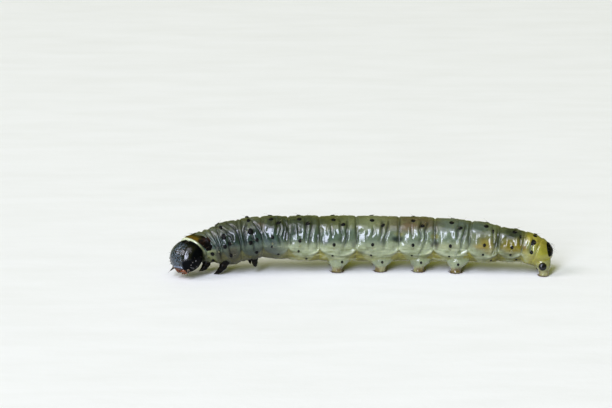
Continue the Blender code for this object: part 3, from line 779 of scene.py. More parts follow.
def carried(path, normals=None, turned=None):
    """Directions across a path, turned as little as possible along it."""
    path = np.asarray(path, float)
    tangents = np.gradient(path, axis=0) if normals is None else np.asarray(normals, float)
    tangents = tangents / np.linalg.norm(tangents, axis=1, keepdims=True)
    across = UP if turned is None else turned
    if abs(tangents[0] @ across) > 0.95:
        across = Y_AXIS
    sets = []
    for tangent in tangents:
        across = unit(across - tangent * (across @ tangent))
        sets.append((across, np.cross(tangent, across)))
    return sets


def tube(path, radii, sides, normals=None, flatten=1.0, turned=None):
    """Rings of a tube along a path."""
    rings = []
    for point, radius, (across, along) in zip(path, radii, carried(path, normals, turned)):
        rings.append(ring(point, across, along, radius, radius * flatten, sides))
    return np.array(rings)


def to_row(made):
    """Moves an object built in millimetres into the row's frame in metres."""
    made.data.transform(Matrix.Scale(MM, 4) @ Matrix.Translation(-Vector(FLOOR_CENTRE)))
    made.data.update()
    return made


def colour_points(made, colours):
    """Stores a colour for each point."""
    layer = made.data.color_attributes.new("Colour", "FLOAT_COLOR", "POINT")
    full = np.ones((len(colours), 4))
    full[:, :3] = colours
    layer.data.foreach_set("color", full.ravel())


def value_points(made, values, name):
    """Stores a number for each point."""
    layer = made.data.attributes.new(name, "FLOAT", "POINT")
    layer.data.foreach_set("value", np.asarray(values, float))


# Materials


class Look:
    """A material and the means to add nodes to it."""

    def __init__(self, name):
        self.material = bpy.data.materials.new(name)
        self.material.use_nodes = True
        self.tree = self.material.node_tree
        self.shader = self.tree.nodes["Principled BSDF"]

    def set(self, **values):
        """Sets the shader's sockets, their names written with underscores."""
        for name, value in values.items():
            self.shader.inputs[name.replace("_", " ")].default_value = value

    def node(self, kind, inputs=None, **settings):
        """Adds a node, links or sets its inputs and returns it."""
        made = self.tree.nodes.new(kind)
        for name, value in settings.items():
            setattr(made, name, value)
        for name, value in (inputs or {}).items():
            socket = made.inputs[name]
            if isinstance(value, bpy.types.NodeSocket):
                self.tree.links.new(value, socket)
            else:
                socket.default_value = value
        return made

    def attribute(self, name, output="Fac"):
        """A stored colour or number."""
        return self.node("ShaderNodeAttribute", attribute_name=name).outputs[output]

    def noise(self, size_mm, detail, stretch=(1.0, 1.0, 1.0)):
        """Noise over the object's own coordinates, with bumps about size_mm apart."""
        place = self.node("ShaderNodeTexCoord").outputs["Object"]
        scaled = self.node("ShaderNodeMapping", {"Vector": place, "Scale": stretch})
        made = self.node(
            "ShaderNodeTexNoise",
            {
                "Vector": scaled.outputs["Vector"],
                "Scale": 1.0 / (size_mm * MM),
                "Detail": detail,
                "Roughness": 0.6,
            },
        )
        return made.outputs["Fac"]

    def cells(self, size_mm, feature="F1"):
        """Distances to scattered points about size_mm apart."""
        place = self.node("ShaderNodeTexCoord").outputs["Object"]
        made = self.node(
            "ShaderNodeTexVoronoi", {"Vector": place, "Scale": 1.0 / (size_mm * MM)}, feature=feature
        )
        return made.outputs["Distance"]

    def math(self, operation, a, b=0.0, clamp=False):
        """A sum, product or the like of two values."""
        made = self.node("ShaderNodeMath", {0: a, 1: b}, operation=operation, use_clamp=clamp)
        return made.outputs[0]

    def ramp(self, value, low, high, start=0.0, end=1.0):
        """A value's range from low to high carried over to start to end."""
        made = self.node(
            "ShaderNodeMapRange",
            {"Value": value, "From Min": low, "From Max": high, "To Min": start, "To Max": end},
        )
        return made.outputs["Result"]

    def mix(self, share, a, b, blend="MIX"):
        """Two colours mixed."""
        made = self.node("ShaderNodeMix", data_type="RGBA", blend_type=blend)
        for socket, value in (("Factor_Float", share), ("A_Color", a), ("B_Color", b)):
            target = next(item for item in made.inputs if item.identifier == socket)
            if isinstance(value, bpy.types.NodeSocket):
                self.tree.links.new(value, target)
            elif isinstance(value, (int, float)):
                target.default_value = value
            else:
                target.default_value = (*value[:3], 1.0)
        return next(item for item in made.outputs if item.identifier == "Result_Color")

    def link(self, value, name):
        """Links a value to one of the shader's sockets."""
        self.tree.links.new(value, self.shader.inputs[name])

    def bump(self, height, depth_mm, strength=1.0):
        """Relief from a height between 0 and 1."""
        made = self.node(
            "ShaderNodeBump", {"Height": height, "Distance": depth_mm * MM, "Strength": strength}
        )
        self.link(made.outputs["Normal"], "Coat Normal")
        self.link(made.outputs["Normal"], "Normal")

    def roughness(self, middle):
        """Links a roughness that varies about a middle value, and returns the material."""
        grain = self.noise(BLACK_GRAIN * 3, 2.0)
        self.link(self.ramp(grain, 0.3, 0.7, middle * 0.8, middle * 1.25), "Roughness")
        return self.material


def flat(red, green, blue):
    """A screen colour as a plain tuple in linear light."""
    return tuple(float(value) for value in linear(red, green, blue))


# Feet, legs and the form that the skin is cast from


def proleg_feet():
    """Each middle proleg's segment, side, foot on the floor and place inside the body."""
    feet = []
    for index, u, spread in PROLEGS:
        centre, _, left, _ = spine_frame(np.float64(index + u))
        for side, _ in SIDES:
            feet.append((index, side, (centre + left * side * spread)[:2], centre[:2]))
    return feet


def anal_feet():
    """The same for the last pair."""
    inner = np.array((ANAL_FOOT[0] - ANAL_LEAN, ANAL_FOOT[1]))
    feet = []
    for side, _ in SIDES:
        foot = np.array((ANAL_FOOT[0], ANAL_FOOT[1] - side * ANAL_SPREAD))
        feet.append((LAST, side, foot, inner))
    return feet


def leg_course(index, u, side, tip):
    """A thoracic leg's root in the body, the way it leaves, its start, bend and tip."""
    centre, _, left, dorsal = spine_frame(np.float64(index + u))
    radial = outward_of(side * LEG_ROOT_ANGLE, left, dorsal)
    root = centre + radial * plain_radius(np.float64(index + u), LEG_ROOT_ANGLE)
    end = np.asarray(tip, float)
    out = unit(radial + unit(end - root) * LEG_LEAN)
    start = root + out * (LEG_BOSS + GAP)
    bend = start + out * LEG_BEND * np.linalg.norm(end - start)
    return root, out, start, bend, end


def body_rings():
    """Rings round the body, without its folds."""
    turns = -360.0 * np.arange(TUBE_SIDES) / TUBE_SIDES
    places = [COLLAR_FRONT * share for share in FRONT_RINGS]
    for index in range(LAST):
        places += [index + k / TUBE_RINGS for k in range(TUBE_RINGS)]
    places += [LAST + share for share in TAIL_RINGS]
    rings = []
    for s in places:
        centre, _, left, dorsal = spine_frame(np.float64(s))
        radius = plain_radius(np.full(TUBE_SIDES, s), turns)
        rings.append(centre + outward_of(turns, left, dorsal) * radius[:, None])
    return np.array(rings)


def foot_rings(rows, foot, inner):
    """Rings of a proleg, from its sole up to its root inside the body."""
    rings = []
    for height, inset, shift, half_x, half_y in rows:
        x, y = foot * (1 - inset) + inner * inset
        rings.append(ring((x + shift, y, height), X_AXIS, Y_AXIS, half_x, half_y, FOOT_SIDES))
    return np.array(rings)


def boss_rings(pair, index, side, u, tip):
    """Rings of the skin's boss round a leg's root."""
    root, out, *_ = leg_course(index, u, side, tip)
    reach = FRONT_BOSS if pair == "front" else 0.0
    path = [root - out * BOSS_SINK] + [root + out * (step + reach) for step in BOSS_STEPS]
    return tube(path, BOSS_RADII, BOSS_SIDES, normals=[out] * len(path))


def cast_skin():
    """One closed mesh round body, prolegs and bosses: its points and quads."""
    shape = Shape()
    shape.loft(body_rings())
    for rows, feet in ((PROLEG_RINGS, proleg_feet()), (ANAL_RINGS, anal_feet())):
        for _, _, foot, inner in feet:
            shape.loft(foot_rings(rows, foot, inner))
    for leg in LEGS:
        shape.loft(boss_rings(*leg))
    made = new_object("cast", np.concatenate(shape.points), shape.faces)
    modifier = made.modifiers.new("cast", "REMESH")
    modifier.mode = "VOXEL"
    modifier.voxel_size = SKIN_VOXEL
    graph = bpy.context.evaluated_depsgraph_get()
    mesh = bpy.data.meshes.new_from_object(made.evaluated_get(graph))
    points = np.empty(len(mesh.vertices) * 3)
    mesh.vertices.foreach_get("co", points)
    corners = np.empty(len(mesh.loops), np.int32)
    mesh.loops.foreach_get("vertex_index", corners)
    old = made.data
    bpy.data.objects.remove(made)
    bpy.data.meshes.remove(old)
    bpy.data.meshes.remove(mesh)
    return points.reshape(-1, 3), corners.reshape(-1, 4)


def averaged(values, edges, counts):
    """Each point's mean over its neighbours."""
    total = np.zeros_like(values)
    for column in range(values.shape[1]):
        near = np.bincount(edges[:, 0], values[edges[:, 1], column], len(values))
        near += np.bincount(edges[:, 1], values[edges[:, 0], column], len(values))
        total[:, column] = near
    return total / counts[:, None]


def relaxed(points, edges, counts, times, share):
    """Points drawn a share of the way to their neighbours' mean, a number of times."""
    for _ in range(times):
        points = points + share * (averaged(points, edges, counts) - points)
    return points


def mesh_edges(quads):
    """Each edge of a mesh of quads once."""
    pairs = np.concatenate([quads[:, [k, (k + 1) % 4]] for k in range(4)])
    return np.unique(np.sort(pairs, axis=1), axis=0)


def point_normals(points, quads):
    """Outward directions at the points of a mesh of quads."""
    corners = points[quads]
    across = np.cross(corners[:, 2] - corners[:, 0], corners[:, 3] - corners[:, 1])
    normals = np.zeros_like(points)
    for corner in range(4):
        for axis in range(3):
            normals[:, axis] += np.bincount(quads[:, corner], across[:, axis], len(points))
    return normals / np.maximum(np.linalg.norm(normals, axis=1, keepdims=True), 1e-12)


# Colours of the living skin
BACK_GREY = linear(82, 88, 76)
BACK_DARK = linear(44, 52, 40)
BACK_OLIVE = linear(84, 90, 56)
BACK_BROWN = linear(84, 76, 54)
BACK_SLATE = linear(62, 72, 62)
TAIL_OLIVE = linear(132, 124, 46)
TAIL_GREEN = linear(136, 134, 46)
FLANK_GREEN = linear(94, 108, 88)
FLANK_PALE = linear(134, 144, 112)
RIDGE_PALE = linear(186, 194, 160)
BELLY_PALE = linear(134, 140, 100)
BELLY_OLIVE = linear(120, 114, 18)
FLANK_DEEP = linear(32, 58, 50)
GUT_TEAL = linear(14, 30, 34)
FAT_YELLOW = linear(136, 124, 8)
FLANK_TEAL = linear(14, 44, 44)
FAT_AMBER = linear(142, 124, 34)
COLLAR_CREAM = linear(206, 214, 178)
COLLAR_OLIVE = linear(92, 98, 66)
PINK_TINT = linear(136, 100, 82)
THROAT_BROWN = linear(76, 66, 42)
FOOT_AMBER = linear(100, 84, 40)
FOOT_BROWN = linear(50, 34, 14)
FOOT_PALE = linear(138, 136, 92)
# Tints and shades that other colours are multiplied by: the ridge's and the folds' are painted shade,
# and the cheek's tints a painted highlight
BELLY_SHADE = linear(170, 166, 96)
RIDGE_SHADE = linear(168, 168, 128)
CHEEK_PALE_AND_HIGHLIGHT_TINT = linear(235, 235, 200)
FOLD_SHADE = linear(140, 150, 150)
VEIN_TINT = linear(228, 232, 190)
STREAK_SHADE = linear(206, 208, 176)
# How much of its own light the skin keeps under the brighter lamps
SKIN_DEPTH = 0.80
# Colours of the two shields
HORN_AMBER = linear(84, 66, 16)
HORN_OLIVE = linear(44, 42, 16)
HORN_BLACK = linear(4, 3, 2)
HORN_BROWN = linear(58, 30, 12)
HORN_PALE = linear(120, 110, 60)
TAIL_BLACK = linear(6, 7, 4)
TAIL_HORN = linear(40, 44, 14)

# The back's colour along the body, by place
BACK_STOPS = (
    (0.0, BACK_GREY),
    (2.6, BACK_GREY),
    (3.4, BACK_DARK),
    (4.6, BACK_DARK * 1.35),
    (5.3, BACK_OLIVE * 0.84),
    (6.3, mixed(BACK_OLIVE, BACK_GREY, 0.35) * 1.75),
    (7.2, BACK_BROWN),
    (7.8, BACK_BROWN),
    (8.3, mixed(BACK_SLATE, BACK_GREY, 0.3) * 1.5),
    (9.4, BACK_SLATE * 1.4),
    (9.9, BACK_OLIVE * 1.1),
    (10.3, BACK_DARK * 1.25),
    (10.8, BACK_DARK * 1.1),
    (11.3, TAIL_OLIVE * 1.1),
    (12.2, TAIL_OLIVE * 1.15),
    (13.0, TAIL_GREEN),
)

# Soft patches seen through the skin: place, degrees, their spreads, colour and strength
PATCHES = (
    (3.88, 66, 0.14, 16, GUT_TEAL, 0.85),
    (4.22, 56, 0.16, 9, GUT_TEAL, 0.75),
    (4.00, 90, 0.10, 4, GUT_TEAL, 0.6),
    (2.72, 55, 0.22, 9, GUT_TEAL, 0.5),
    (1.72, 45, 0.16, 10, GUT_TEAL, 0.5),
    (1.60, 66, 0.30, 9, BACK_DARK, 0.5),
    (0.78, 88, 0.08, 10, GUT_TEAL, 0.6),
    (5.12, 84, 0.08, 8, GUT_TEAL, 0.45),
    (5.60, 80, 0.08, 10, BACK_DARK, 0.5),
    (5.92, 90, 0.06, 9, BACK_DARK, 0.6),
    (6.60, 80, 0.07, 8, BACK_DARK, 0.55),
    (6.96, 75, 0.13, 7, GUT_TEAL, 1.0),
    (7.60, 82, 0.06, 9, BACK_DARK, 0.5),
    (8.04, 87, 0.11, 9, GUT_TEAL, 1.0),
    (8.03, 66, 0.10, 6, FAT_YELLOW, 0.5),
    (7.02, 62, 0.10, 5, FAT_YELLOW, 0.35),
    (9.40, 88, 0.18, 7, FAT_AMBER, 0.7),
    (9.58, 80, 0.20, 14, FAT_AMBER, 0.7),
    (8.36, 92, 0.34, 8, FAT_AMBER, 0.15),
    (9.70, 98, 0.12, 10, FAT_AMBER, 0.4),
    (10.48, 84, 0.26, 14, FAT_AMBER * 0.9, 0.7),
    (10.70, 82, 0.40, 15, FAT_YELLOW * 0.86, 1.0),
    (11.30, 86, 0.18, 10, FAT_YELLOW, 0.55),
    (10.92, 70, 0.06, 6, FAT_AMBER, 0.6),
    (7.28, 45, 0.22, 12, PINK_TINT, 0.2),
    (2.96, 36, 0.10, 7, PINK_TINT, 0.25),
    (11.14, 74, 0.10, 5, PINK_TINT, 0.5),
    (1.55, 114, 0.34, 22, THROAT_BROWN, 0.65),
    (0.74, 122, 0.20, 18, THROAT_BROWN * 0.6, 0.75),
    (12.55, 96, 0.30, 16, TAIL_GREEN, 0.6),
)


class Chart:
    """Where the skin's points lie, with the zones and noises that its colours share."""

    def __init__(self, s, degrees, points, free):
        """free is 1 on the prolegs and the legs' bosses and 0 on the body."""
        self.s, self.degrees, self.points, self.free = s, degrees, points, free
        self.body = 1.0 - free
        self.away = np.abs(degrees)
        index, self.u = segment_at(s)
        self.joint = np.minimum(self.u, 1.0 - self.u) * CHORDS[index]
        self.below = self.away - ridge_angle(s)
        self.abdomen = in_abdomen(s)
        self.rear = within(8.7, 9.5, 11.0, 11.6, s)
        self.rough = noise(points, 0.5, 11)
        self.fine = noise(points, 0.16, 12)
        self.grain = noise(points, 0.06, 13)
        self.thorax = fade_out(3.2, 4.6, s + 0.2 * self.rough)


def back_colours(at):
    """The dark back, mottled, with a darker middle line."""
    places = [place for place, _ in BACK_STOPS]
    channels = [np.interp(at.s, places, [tint[k] for _, tint in BACK_STOPS]) for k in range(3)]
    back = np.stack(channels, axis=-1)
    back = mixed(back, back * 0.6, fade_in(0.0, 0.8, at.rough) * 0.7)
    back = mixed(back, BACK_OLIVE * 1.1, fade_in(0.1, 0.9, at.fine) * 0.35)
    return mixed(back, back * 0.7, bump(at.away, 0.0, 7.0) * 0.5)


def flank_colours(at):
    """The sides: teal behind the head, green in the middle and olive at the rear."""
    flank = mixed(FLANK_GREEN, FLANK_PALE, fade_in(70.0, 98.0, at.away + 6 * at.rough))
    flank = mixed(flank, flank * 0.10 + FLANK_TEAL, at.thorax)
    front = fade_out(5.0, 7.0, at.s) * fade_out(78.0, 96.0, at.away)
    flank = mixed(flank, FLANK_DEEP, 0.6 * front * (1.0 - at.thorax))
    flank = mixed(flank, TAIL_OLIVE * 0.64, at.rear * (0.44 + 0.40 * fade_in(9.9, 10.3, at.s)))
    return mixed(flank, TAIL_GREEN, fade_in(11.0, 12.2, at.s))


def belly_colours(at):
    """The belly, olive and darkened with painted shade towards its middle, and darker behind the head.
    """
    belly = mixed(BELLY_PALE, BELLY_OLIVE * 1.2, fade_in(-0.2, 0.7, at.rough) * 0.4)
    # Painted shade: dark olive along the underside.
    belly = mixed(belly, BELLY_OLIVE * 0.45, fade_in(140.0, 160.0, at.away) * 0.75)
    return mixed(belly, belly * BELLY_SHADE, at.thorax)


def ground_colours(at):
    """Back, sides and belly, with the paler band above the ridge."""
    edge = 52.0 + 7.0 * at.rough + 5.0 * at.fine
    colour = mixed(back_colours(at), flank_colours(at), fade_in(edge - 13.0, edge + 12.0, at.away))
    low = mixed(FLANK_PALE, TAIL_OLIVE, fade_in(10.6, 12.0, at.s))
    colour = mixed(colour, low, fade_in(84.0, 98.0, at.away) * 0.7 * (1 - 0.75 * at.thorax))
    return mixed(colour, belly_colours(at), fade_in(4.0, 16.0, at.below))


def with_olive_triangles_and_shade(colour, at):
    """Olive triangles under the ridge, widest at the joints: partly the skin's own olive and partly
    painted shade of the hollows between the prolegs, darker with painted shade towards the underside.
    """
    reach = np.clip((at.below - 2.0) / 42.0, 0.0, 1.0) ** 0.8 * 0.60 + 0.02
    triangle_and_shade = fade_in(0.06, -0.06, at.joint - reach + 0.04 * at.fine) * fade_in(1.0, 5.0, at.below)
    # Painted shade: the triangles darken towards the underside.
    low_edge_shade = 1.0 - 0.45 * fade_in(128.0, 150.0, at.away)
    olive = mixed(BELLY_OLIVE * 1.28, BELLY_PALE * 0.9, 0.16 + 0.34 * at.thorax)
    olive = olive * (low_edge_shade * (1.0 - 0.30 * at.thorax))[:, None]
    return mixed(colour, olive, triangle_and_shade * (0.95 - 0.25 * at.thorax) * at.body)


def with_ridge(colour, at):
    """The pale wavy ridge, brighter near the joints with painted highlights, the painted shade under it
    and the thin pale line above it.
    """
    ends = fade_in(0.30, 0.95, np.abs(2.0 * at.u - 1.0))
    shade = at.abdomen * bump(at.below, 8.5, 4.5) * ends * at.body * (0.6 + 0.4 * at.rough)
    colour = mixed(colour, colour * RIDGE_SHADE, np.clip(shade, 0.0, 1.0))
    # The ridge's own pale colour, brighter near both joints with painted highlights.
    share = 0.22 + 0.2 * at.fine + 0.62 * fade_in(0.5, 0.85, at.u) + 0.3 * bump(at.u, 0.0, 0.15)
    pale = at.abdomen * bump(at.below, 0.0, 3.6) * share
    pale = pale * (0.75 + 0.5 * at.rough) * fade_in(3.5, 4.6, at.s)
    colour = mixed(colour, RIDGE_PALE, np.clip(pale, 0.0, 1.0))
    line = at.abdomen * bump(at.away, 99.5 + 1.2 * at.rough, 1.3) * fade_in(-0.5, 0.3, at.fine)
    return mixed(colour, RIDGE_PALE, line * 0.32)


def with_patches(colour, at):
    """Gut, fat and blotches that show through the skin."""
    lumps = 1.0 + 0.4 * at.fine + 0.2 * at.grain
    for place, turn, spread, width, tint, strength in PATCHES:
        far = ((at.s - place) / spread) ** 2 + ((at.away - turn) / width) ** 2
        here = np.exp(-((0.7 * far * lumps) ** 1.6))
        colour = mixed(colour, tint, np.clip(here * strength * at.body, 0.0, 1.0))
    return colour


def with_joints(colour, at):
    """Pale cracks at the joints, dark beside them, pale skin at the joints on the side that is partly
    painted glints, and two pale places behind the head, the lower one partly a painted highlight.
    """
    beside = bump(at.joint, 0.075, 0.035) * fade_out(70, 92, at.away) * at.abdomen
    colour = mixed(colour, BACK_DARK * 0.7, beside * 0.5)
    crack = bump(at.joint, 0.0, 0.026) * fade_out(84, 100, at.away) * at.abdomen
    crack = crack * (0.4 + 0.6 * fade_in(20.0, 45.0, at.away))
    colour = mixed(colour, RIDGE_PALE * 0.8, crack * (0.45 + 0.4 * at.fine))
    # Pale skin at the joints near the ridge, partly painted glints.
    pale_joint_and_glint = bump(at.joint, 0.0, 0.05) * fade_in(0.4, 0.6, at.s) * at.abdomen
    colour = mixed(colour, RIDGE_PALE, pale_joint_and_glint * bump(at.away, 96.0, 13.0) * 0.45)
    behind = bump(at.s, 0.70, 0.07) * fade_in(-0.5, 0.4, at.fine) * fade_out(95, 125, at.away)
    colour = mixed(colour, RIDGE_PALE * 0.7, behind * 0.5)
    # A pale cream patch low behind the head, partly its own pale skin and partly a painted highlight.
    cheek = bump(at.s, 0.40, 0.24) * fade_in(88.0, 100.0, at.away) * fade_out(128, 150, at.away)
    return mixed(colour, RIDGE_PALE * CHEEK_PALE_AND_HIGHLIGHT_TINT, cheek * 0.6)


def with_fold_shade(colour, at):
    """Painted shade down in the folds."""
    deep = fold_depth(at.s, at.degrees) * at.body
    deep = deep * (1.0 - 0.6 * fade_in(80.0, 100.0, at.away) * at.abdomen) * (0.8 + 0.5 * at.fine)
    # Painted shade: the colour is darkened by how deep the folds sink the skin.
    return mixed(colour, colour * FOLD_SHADE, fade_in(0.004, 0.05, deep) * 0.9)


def with_limbs(colour, at):
    """Prolegs with amber feet, and the dark bosses of the legs."""
    height = at.points[:, 2]
    top = np.clip((height - 0.1) / 0.35, 0.0, 1.0)
    feet = mixed(FOOT_AMBER, FOOT_PALE, fade_in(-0.3, 0.5, at.fine))
    stem = mixed(feet, FLANK_PALE * 0.92, fade_in(0.25, 0.9, top + 0.15 * at.rough))
    stem = np.where((at.s > HIND_FEET)[:, None], mixed(stem, TAIL_OLIVE, 0.55 * top), stem)
    sole = fade_in(0.10, 0.04, height) * fade_in(-0.6, 0.2, at.fine)
    stem = mixed(stem, FOOT_BROWN, 0.15 * sole)
    colour = mixed(colour, stem, at.free * (at.s > LEGS_END))
    boss = at.free * (at.s < LEGS_END) * (0.25 + 0.4 * fade_in(0.8, 1.2, at.s))
    return mixed(colour, BACK_DARK * 0.55, boss)


def with_collar(colour, at):
    """The pale collar against the head."""
    reach = at.s + 0.012 * at.rough + 0.02 * fade_in(50.0, 90.0, at.away)
    rim = mixed(COLLAR_CREAM, COLLAR_OLIVE, fade_in(25.0, 75.0, at.away + 12.0 * at.fine))
    return mixed(colour, rim, fade_out(0.050, 0.078, reach))


def with_veins(colour, at):
    """Pale veins, dark blotches, and streaks low on the abdomen's sides."""
    veins = np.abs(noise(at.points, 0.21, 14)) + 0.4 * np.abs(noise(at.points, 0.1, 15))
    colour = mixed(colour, colour * VEIN_TINT * 1.5, fade_in(0.12, 0.0, veins) * 0.6)
    colour = mixed(colour, colour * 0.62, fade_in(0.25, 0.75, noise(at.points, 0.26, 16)) * 0.6)
    low_side = fade_in(90.0, 104.0, at.away) * at.body * within(3.4, 4.4, 10.8, 11.6, at.s)
    streak = noise(at.points * (0.55, 1.0, 1.7), 0.16, 17)
    colour = mixed(colour, colour * STREAK_SHADE, fade_in(0.05, 0.55, streak) * low_side * 0.75)
    return mixed(colour, RIDGE_PALE, fade_in(0.15, 0.60, -streak) * low_side * 0.34)


def brightness(at):
    """How much darker or lighter each place is than its colours."""
    dim = 1.0 - 0.50 * fade_out(3.3, 4.5, at.s) * fade_in(92.0, 112.0, at.away)
    dim = dim * (1.0 - 0.38 * bump(at.s, 1.6, 0.8) * fade_out(84.0, 100.0, at.away))
    rear_side = at.rear * fade_in(50.0, 75.0, at.away)
    dim = dim * (1.0 - (0.18 + 0.14 * bump(at.s, 10.5, 0.5)) * rear_side)
    dim = dim * (1.0 + 0.22 * bump(at.s, 11.4, 0.4))
    dim = dim * (1.0 + 0.8 * bump(at.s, 0.18, 0.12) * fade_in(68.0, 88.0, at.away))
    return SKIN_DEPTH * dim


def skin_colours(at):
    """The skin's colours, one laid over another."""
    colour = ground_colours(at)
    layers = (with_olive_triangles_and_shade, with_ridge, with_patches, with_joints, with_fold_shade, with_limbs)
    for layer in (*layers, with_collar, with_veins):
        colour = layer(colour, at)
    colour = colour * brightness(at)[:, None]
    return np.clip(colour * (1.0 + 0.12 * at.grain + 0.12 * at.fine)[:, None], 0.0, 1.0)


def wetness(at):
    """How strongly the skin shines, from 0.2 to 1: less low down and on two parts of the side."""
    low = fade_in(86.0, 104.0, at.away)
    under = fade_in(2.0, 10.0, at.below) * at.body
    rearward = fade_in(2.4, 3.4, at.s)
    wet = 1.0 - 0.55 * low * (1.0 - rearward) - 0.45 * under * rearward
    wet = wet - 0.30 * (1.0 - low) * bump(at.s, 1.55, 0.55)
    wet = wet - 0.25 * bump(at.s, 10.3, 0.9) * fade_in(50.0, 70.0, at.away)
    return np.clip(wet, 0.2, 1.0)


# Skin


def on_folds(points, s, degrees, free):
    """Points moved onto the folded skin, but for the limbs and the body's two ends."""
    ends = np.maximum(fade_out(0.02, 0.10, s), fade_in(LAST + 0.5, LAST + 0.8, s))
    loose = np.maximum(free, ends)[:, None]
    return skin_point(s, degrees) * (1.0 - loose) + points * loose


def limb_wrinkles(points, free):
    """The height of the fine rings round prolegs and bosses."""
    limb = free * fade_in(0.03, 0.12, points[:, 2])
    rings = noise(points * (0.35, 0.35, 1.0), 0.07, 21)
    return limb * (0.010 * rings + 0.006 * noise(points, 0.08, 22))


def build_skin():
    """The one skin over body, prolegs and bosses, and a tree that finds its surface."""
    points, quads = cast_skin()
    edges = mesh_edges(quads)
    counts = np.bincount(edges.ravel(), minlength=len(points)).astype(float)
    points = relaxed(points, edges, counts, CAST_ROUNDS, RELAX_SHARE)
    s, degrees, reach = locate(points)
    free = fade_in(0.02, 0.10, np.abs(reach - plain_radius(s, degrees)))
    points = on_folds(points, s, degrees, free)
    seam = 4.0 * free * (1.0 - free)
    for _ in range(SEAM_SPREAD):
        seam = np.maximum(seam, averaged(seam[:, None], edges, counts)[:, 0])
    seam = np.clip(seam * 2.0, 0.0, 1.0)[:, None]
    points = relaxed(points, edges, counts, SEAM_ROUNDS, RELAX_SHARE * seam)
    wrinkles = limb_wrinkles(points, free)[:, None]
    points = points + point_normals(points, quads) * wrinkles
    made = new_object("skin", points, quads)
    at = Chart(s, degrees, points, free)
    colour_points(made, skin_colours(at))
    value_points(made, wetness(at), "Wet")
    return to_row(made), BVHTree.FromPolygons(points.tolist(), quads.tolist())


def skin_look():
    """Wet, slightly see-through skin."""
    look = Look("wet_green_skin")
    look.set(
        Roughness=0.45,
        Specular_IOR_Level=0.1,
        Coat_Roughness=0.05,
        Coat_IOR=1.55,
        Subsurface_Weight=0.3,
        Subsurface_Radius=(1.0, 0.85, 0.35),
        Subsurface_Scale=0.00012,
    )
    speck = look.ramp(look.noise(0.035, 2.0), 0.35, 0.75, 0.0, 0.35)
    colour = look.mix(speck, look.attribute("Colour", "Color"), (1, 1, 0.92), "SOFT_LIGHT")
    look.link(colour, "Base Color")
    look.link(look.attribute("Wet"), "Coat Weight")
    look.link(look.ramp(look.noise(0.12, 2.0), 0.3, 0.7, 0.36, 0.56), "Roughness")
    fine = look.math("MULTIPLY", look.noise(0.02, 1.0), 0.4)
    look.bump(look.math("ADD", look.noise(0.05, 3.0), fine), 0.0022)
    return look.material


# Head


def head_axes():
    """The head's left, mouth and face directions."""
    heading = np.array((-math.cos(HEAD_YAW), -math.sin(HEAD_YAW), 0.0))
    face = heading * math.sin(FACE_LEAN) + UP * math.cos(FACE_LEAN)
    mouth = heading * math.cos(FACE_LEAN) - UP * math.sin(FACE_LEAN)
    return np.cross(UP, heading), mouth, face


HEAD_LEFT, HEAD_MOUTH, HEAD_FACE = head_axes()


def head_place(across, along, out):
    """Points from the head's centre: left, to the mouth and out of the face."""
    across, along, out = (np.asarray(value, float)[..., None] for value in (across, along, out))
    return HEAD_CENTRE + HEAD_LEFT * across + HEAD_MOUTH * along + HEAD_FACE * out


def suture_line(x, z):
    """How far a point of the face is from the lines round its middle triangle."""
    half = np.interp(z, SUTURE_LEVELS, SUTURE_HALF_WIDTHS)
    return np.where(z > SUTURE_LEVELS[0], np.abs(np.abs(x) - half), np.abs(x))


def head_surface(direction):
    """The capsule's points in directions given as left, out of the face and to the mouth."""
    x, y, z = direction[..., 0], direction[..., 1], direction[..., 2]
    front = fade_in(0.05, 0.45, y)
    groove = 0.055 * bump(x, 0.0, 0.10) * fade_in(0.15, -0.25, z) * fade_in(-0.5, 0.2, y)
    line = 0.018 * bump(suture_line(x, z), 0.0, 0.022) * front * fade_in(0.78, 0.6, z)
    inside = fade_in(0.02, 0.10, np.interp(z, (-0.3, 0.8), (0.0, 0.30)) - np.abs(x))
    sunk = 0.020 * inside * front * fade_in(-0.3, 0.0, z)
    cheek = 0.030 * bump(np.abs(x), 0.72, 0.30) * bump(z, 0.30, 0.45)
    brow = 0.014 * bump(np.abs(x), 0.40, 0.16) * bump(z, 0.1, 0.5) * front
    rough = 0.006 * noise(direction, 0.09, 31) + 0.004 * noise(direction, 0.045, 32)
    rugose = rough * (0.25 + front * bump(x, 0.0, 0.62))
    mouth = fade_in(0.80, 0.97, z)
    scale = 1.0 - groove - line - sunk + cheek + brow + rugose
    depth = np.where(y > 0.0, HEAD_FRONT_DEPTH, HEAD_REAR_DEPTH)
    along = z * HEAD_HALF_HEIGHT * scale
    along = along * (1 - mouth) + (MOUTH_LEVEL + 0.02) * mouth
    return head_place(x * HEAD_HALF_WIDTH * scale, along, y * depth * scale)


def build_head():
    """The capsule of the head, with its sutures, cheeks and rough face."""
    rows, columns = HEAD_MESH
    tilt = math.pi * (np.arange(rows) + 0.5) / rows
    turn = 2 * math.pi * np.arange(columns) / columns
    tilt, turn = np.meshgrid(tilt, turn, indexing="ij")
    parts = (np.sin(tilt) * np.cos(turn), np.sin(tilt) * np.sin(turn), np.cos(tilt))
    direction = np.stack(parts, axis=-1).reshape(-1, 3)
    made = new_object("head_capsule", head_surface(direction), tube_faces(rows, columns))
    x, y, z = direction.T
    face = fade_in(0.0, 0.4, y) * bump(x, -0.2, 0.60) * (0.15 + 0.85 * fade_in(-0.70, -0.30, z))
    value_points(made, np.clip(face, 0, 1), "Rugose")
    shine = fade_out(0.64, 0.80, x + 0.45 * fade_in(0.30, 0.70, z)) * fade_in(-0.3, 0.1, y)
    value_points(made, shine * fade_in(-0.66, -0.24, z), "Shine")
    line = bump(suture_line(x, z), 0.0, 0.03) * fade_in(0.1, 0.5, y)
    value_points(made, np.clip(line, 0, 1), "Suture")
    return to_row(made)


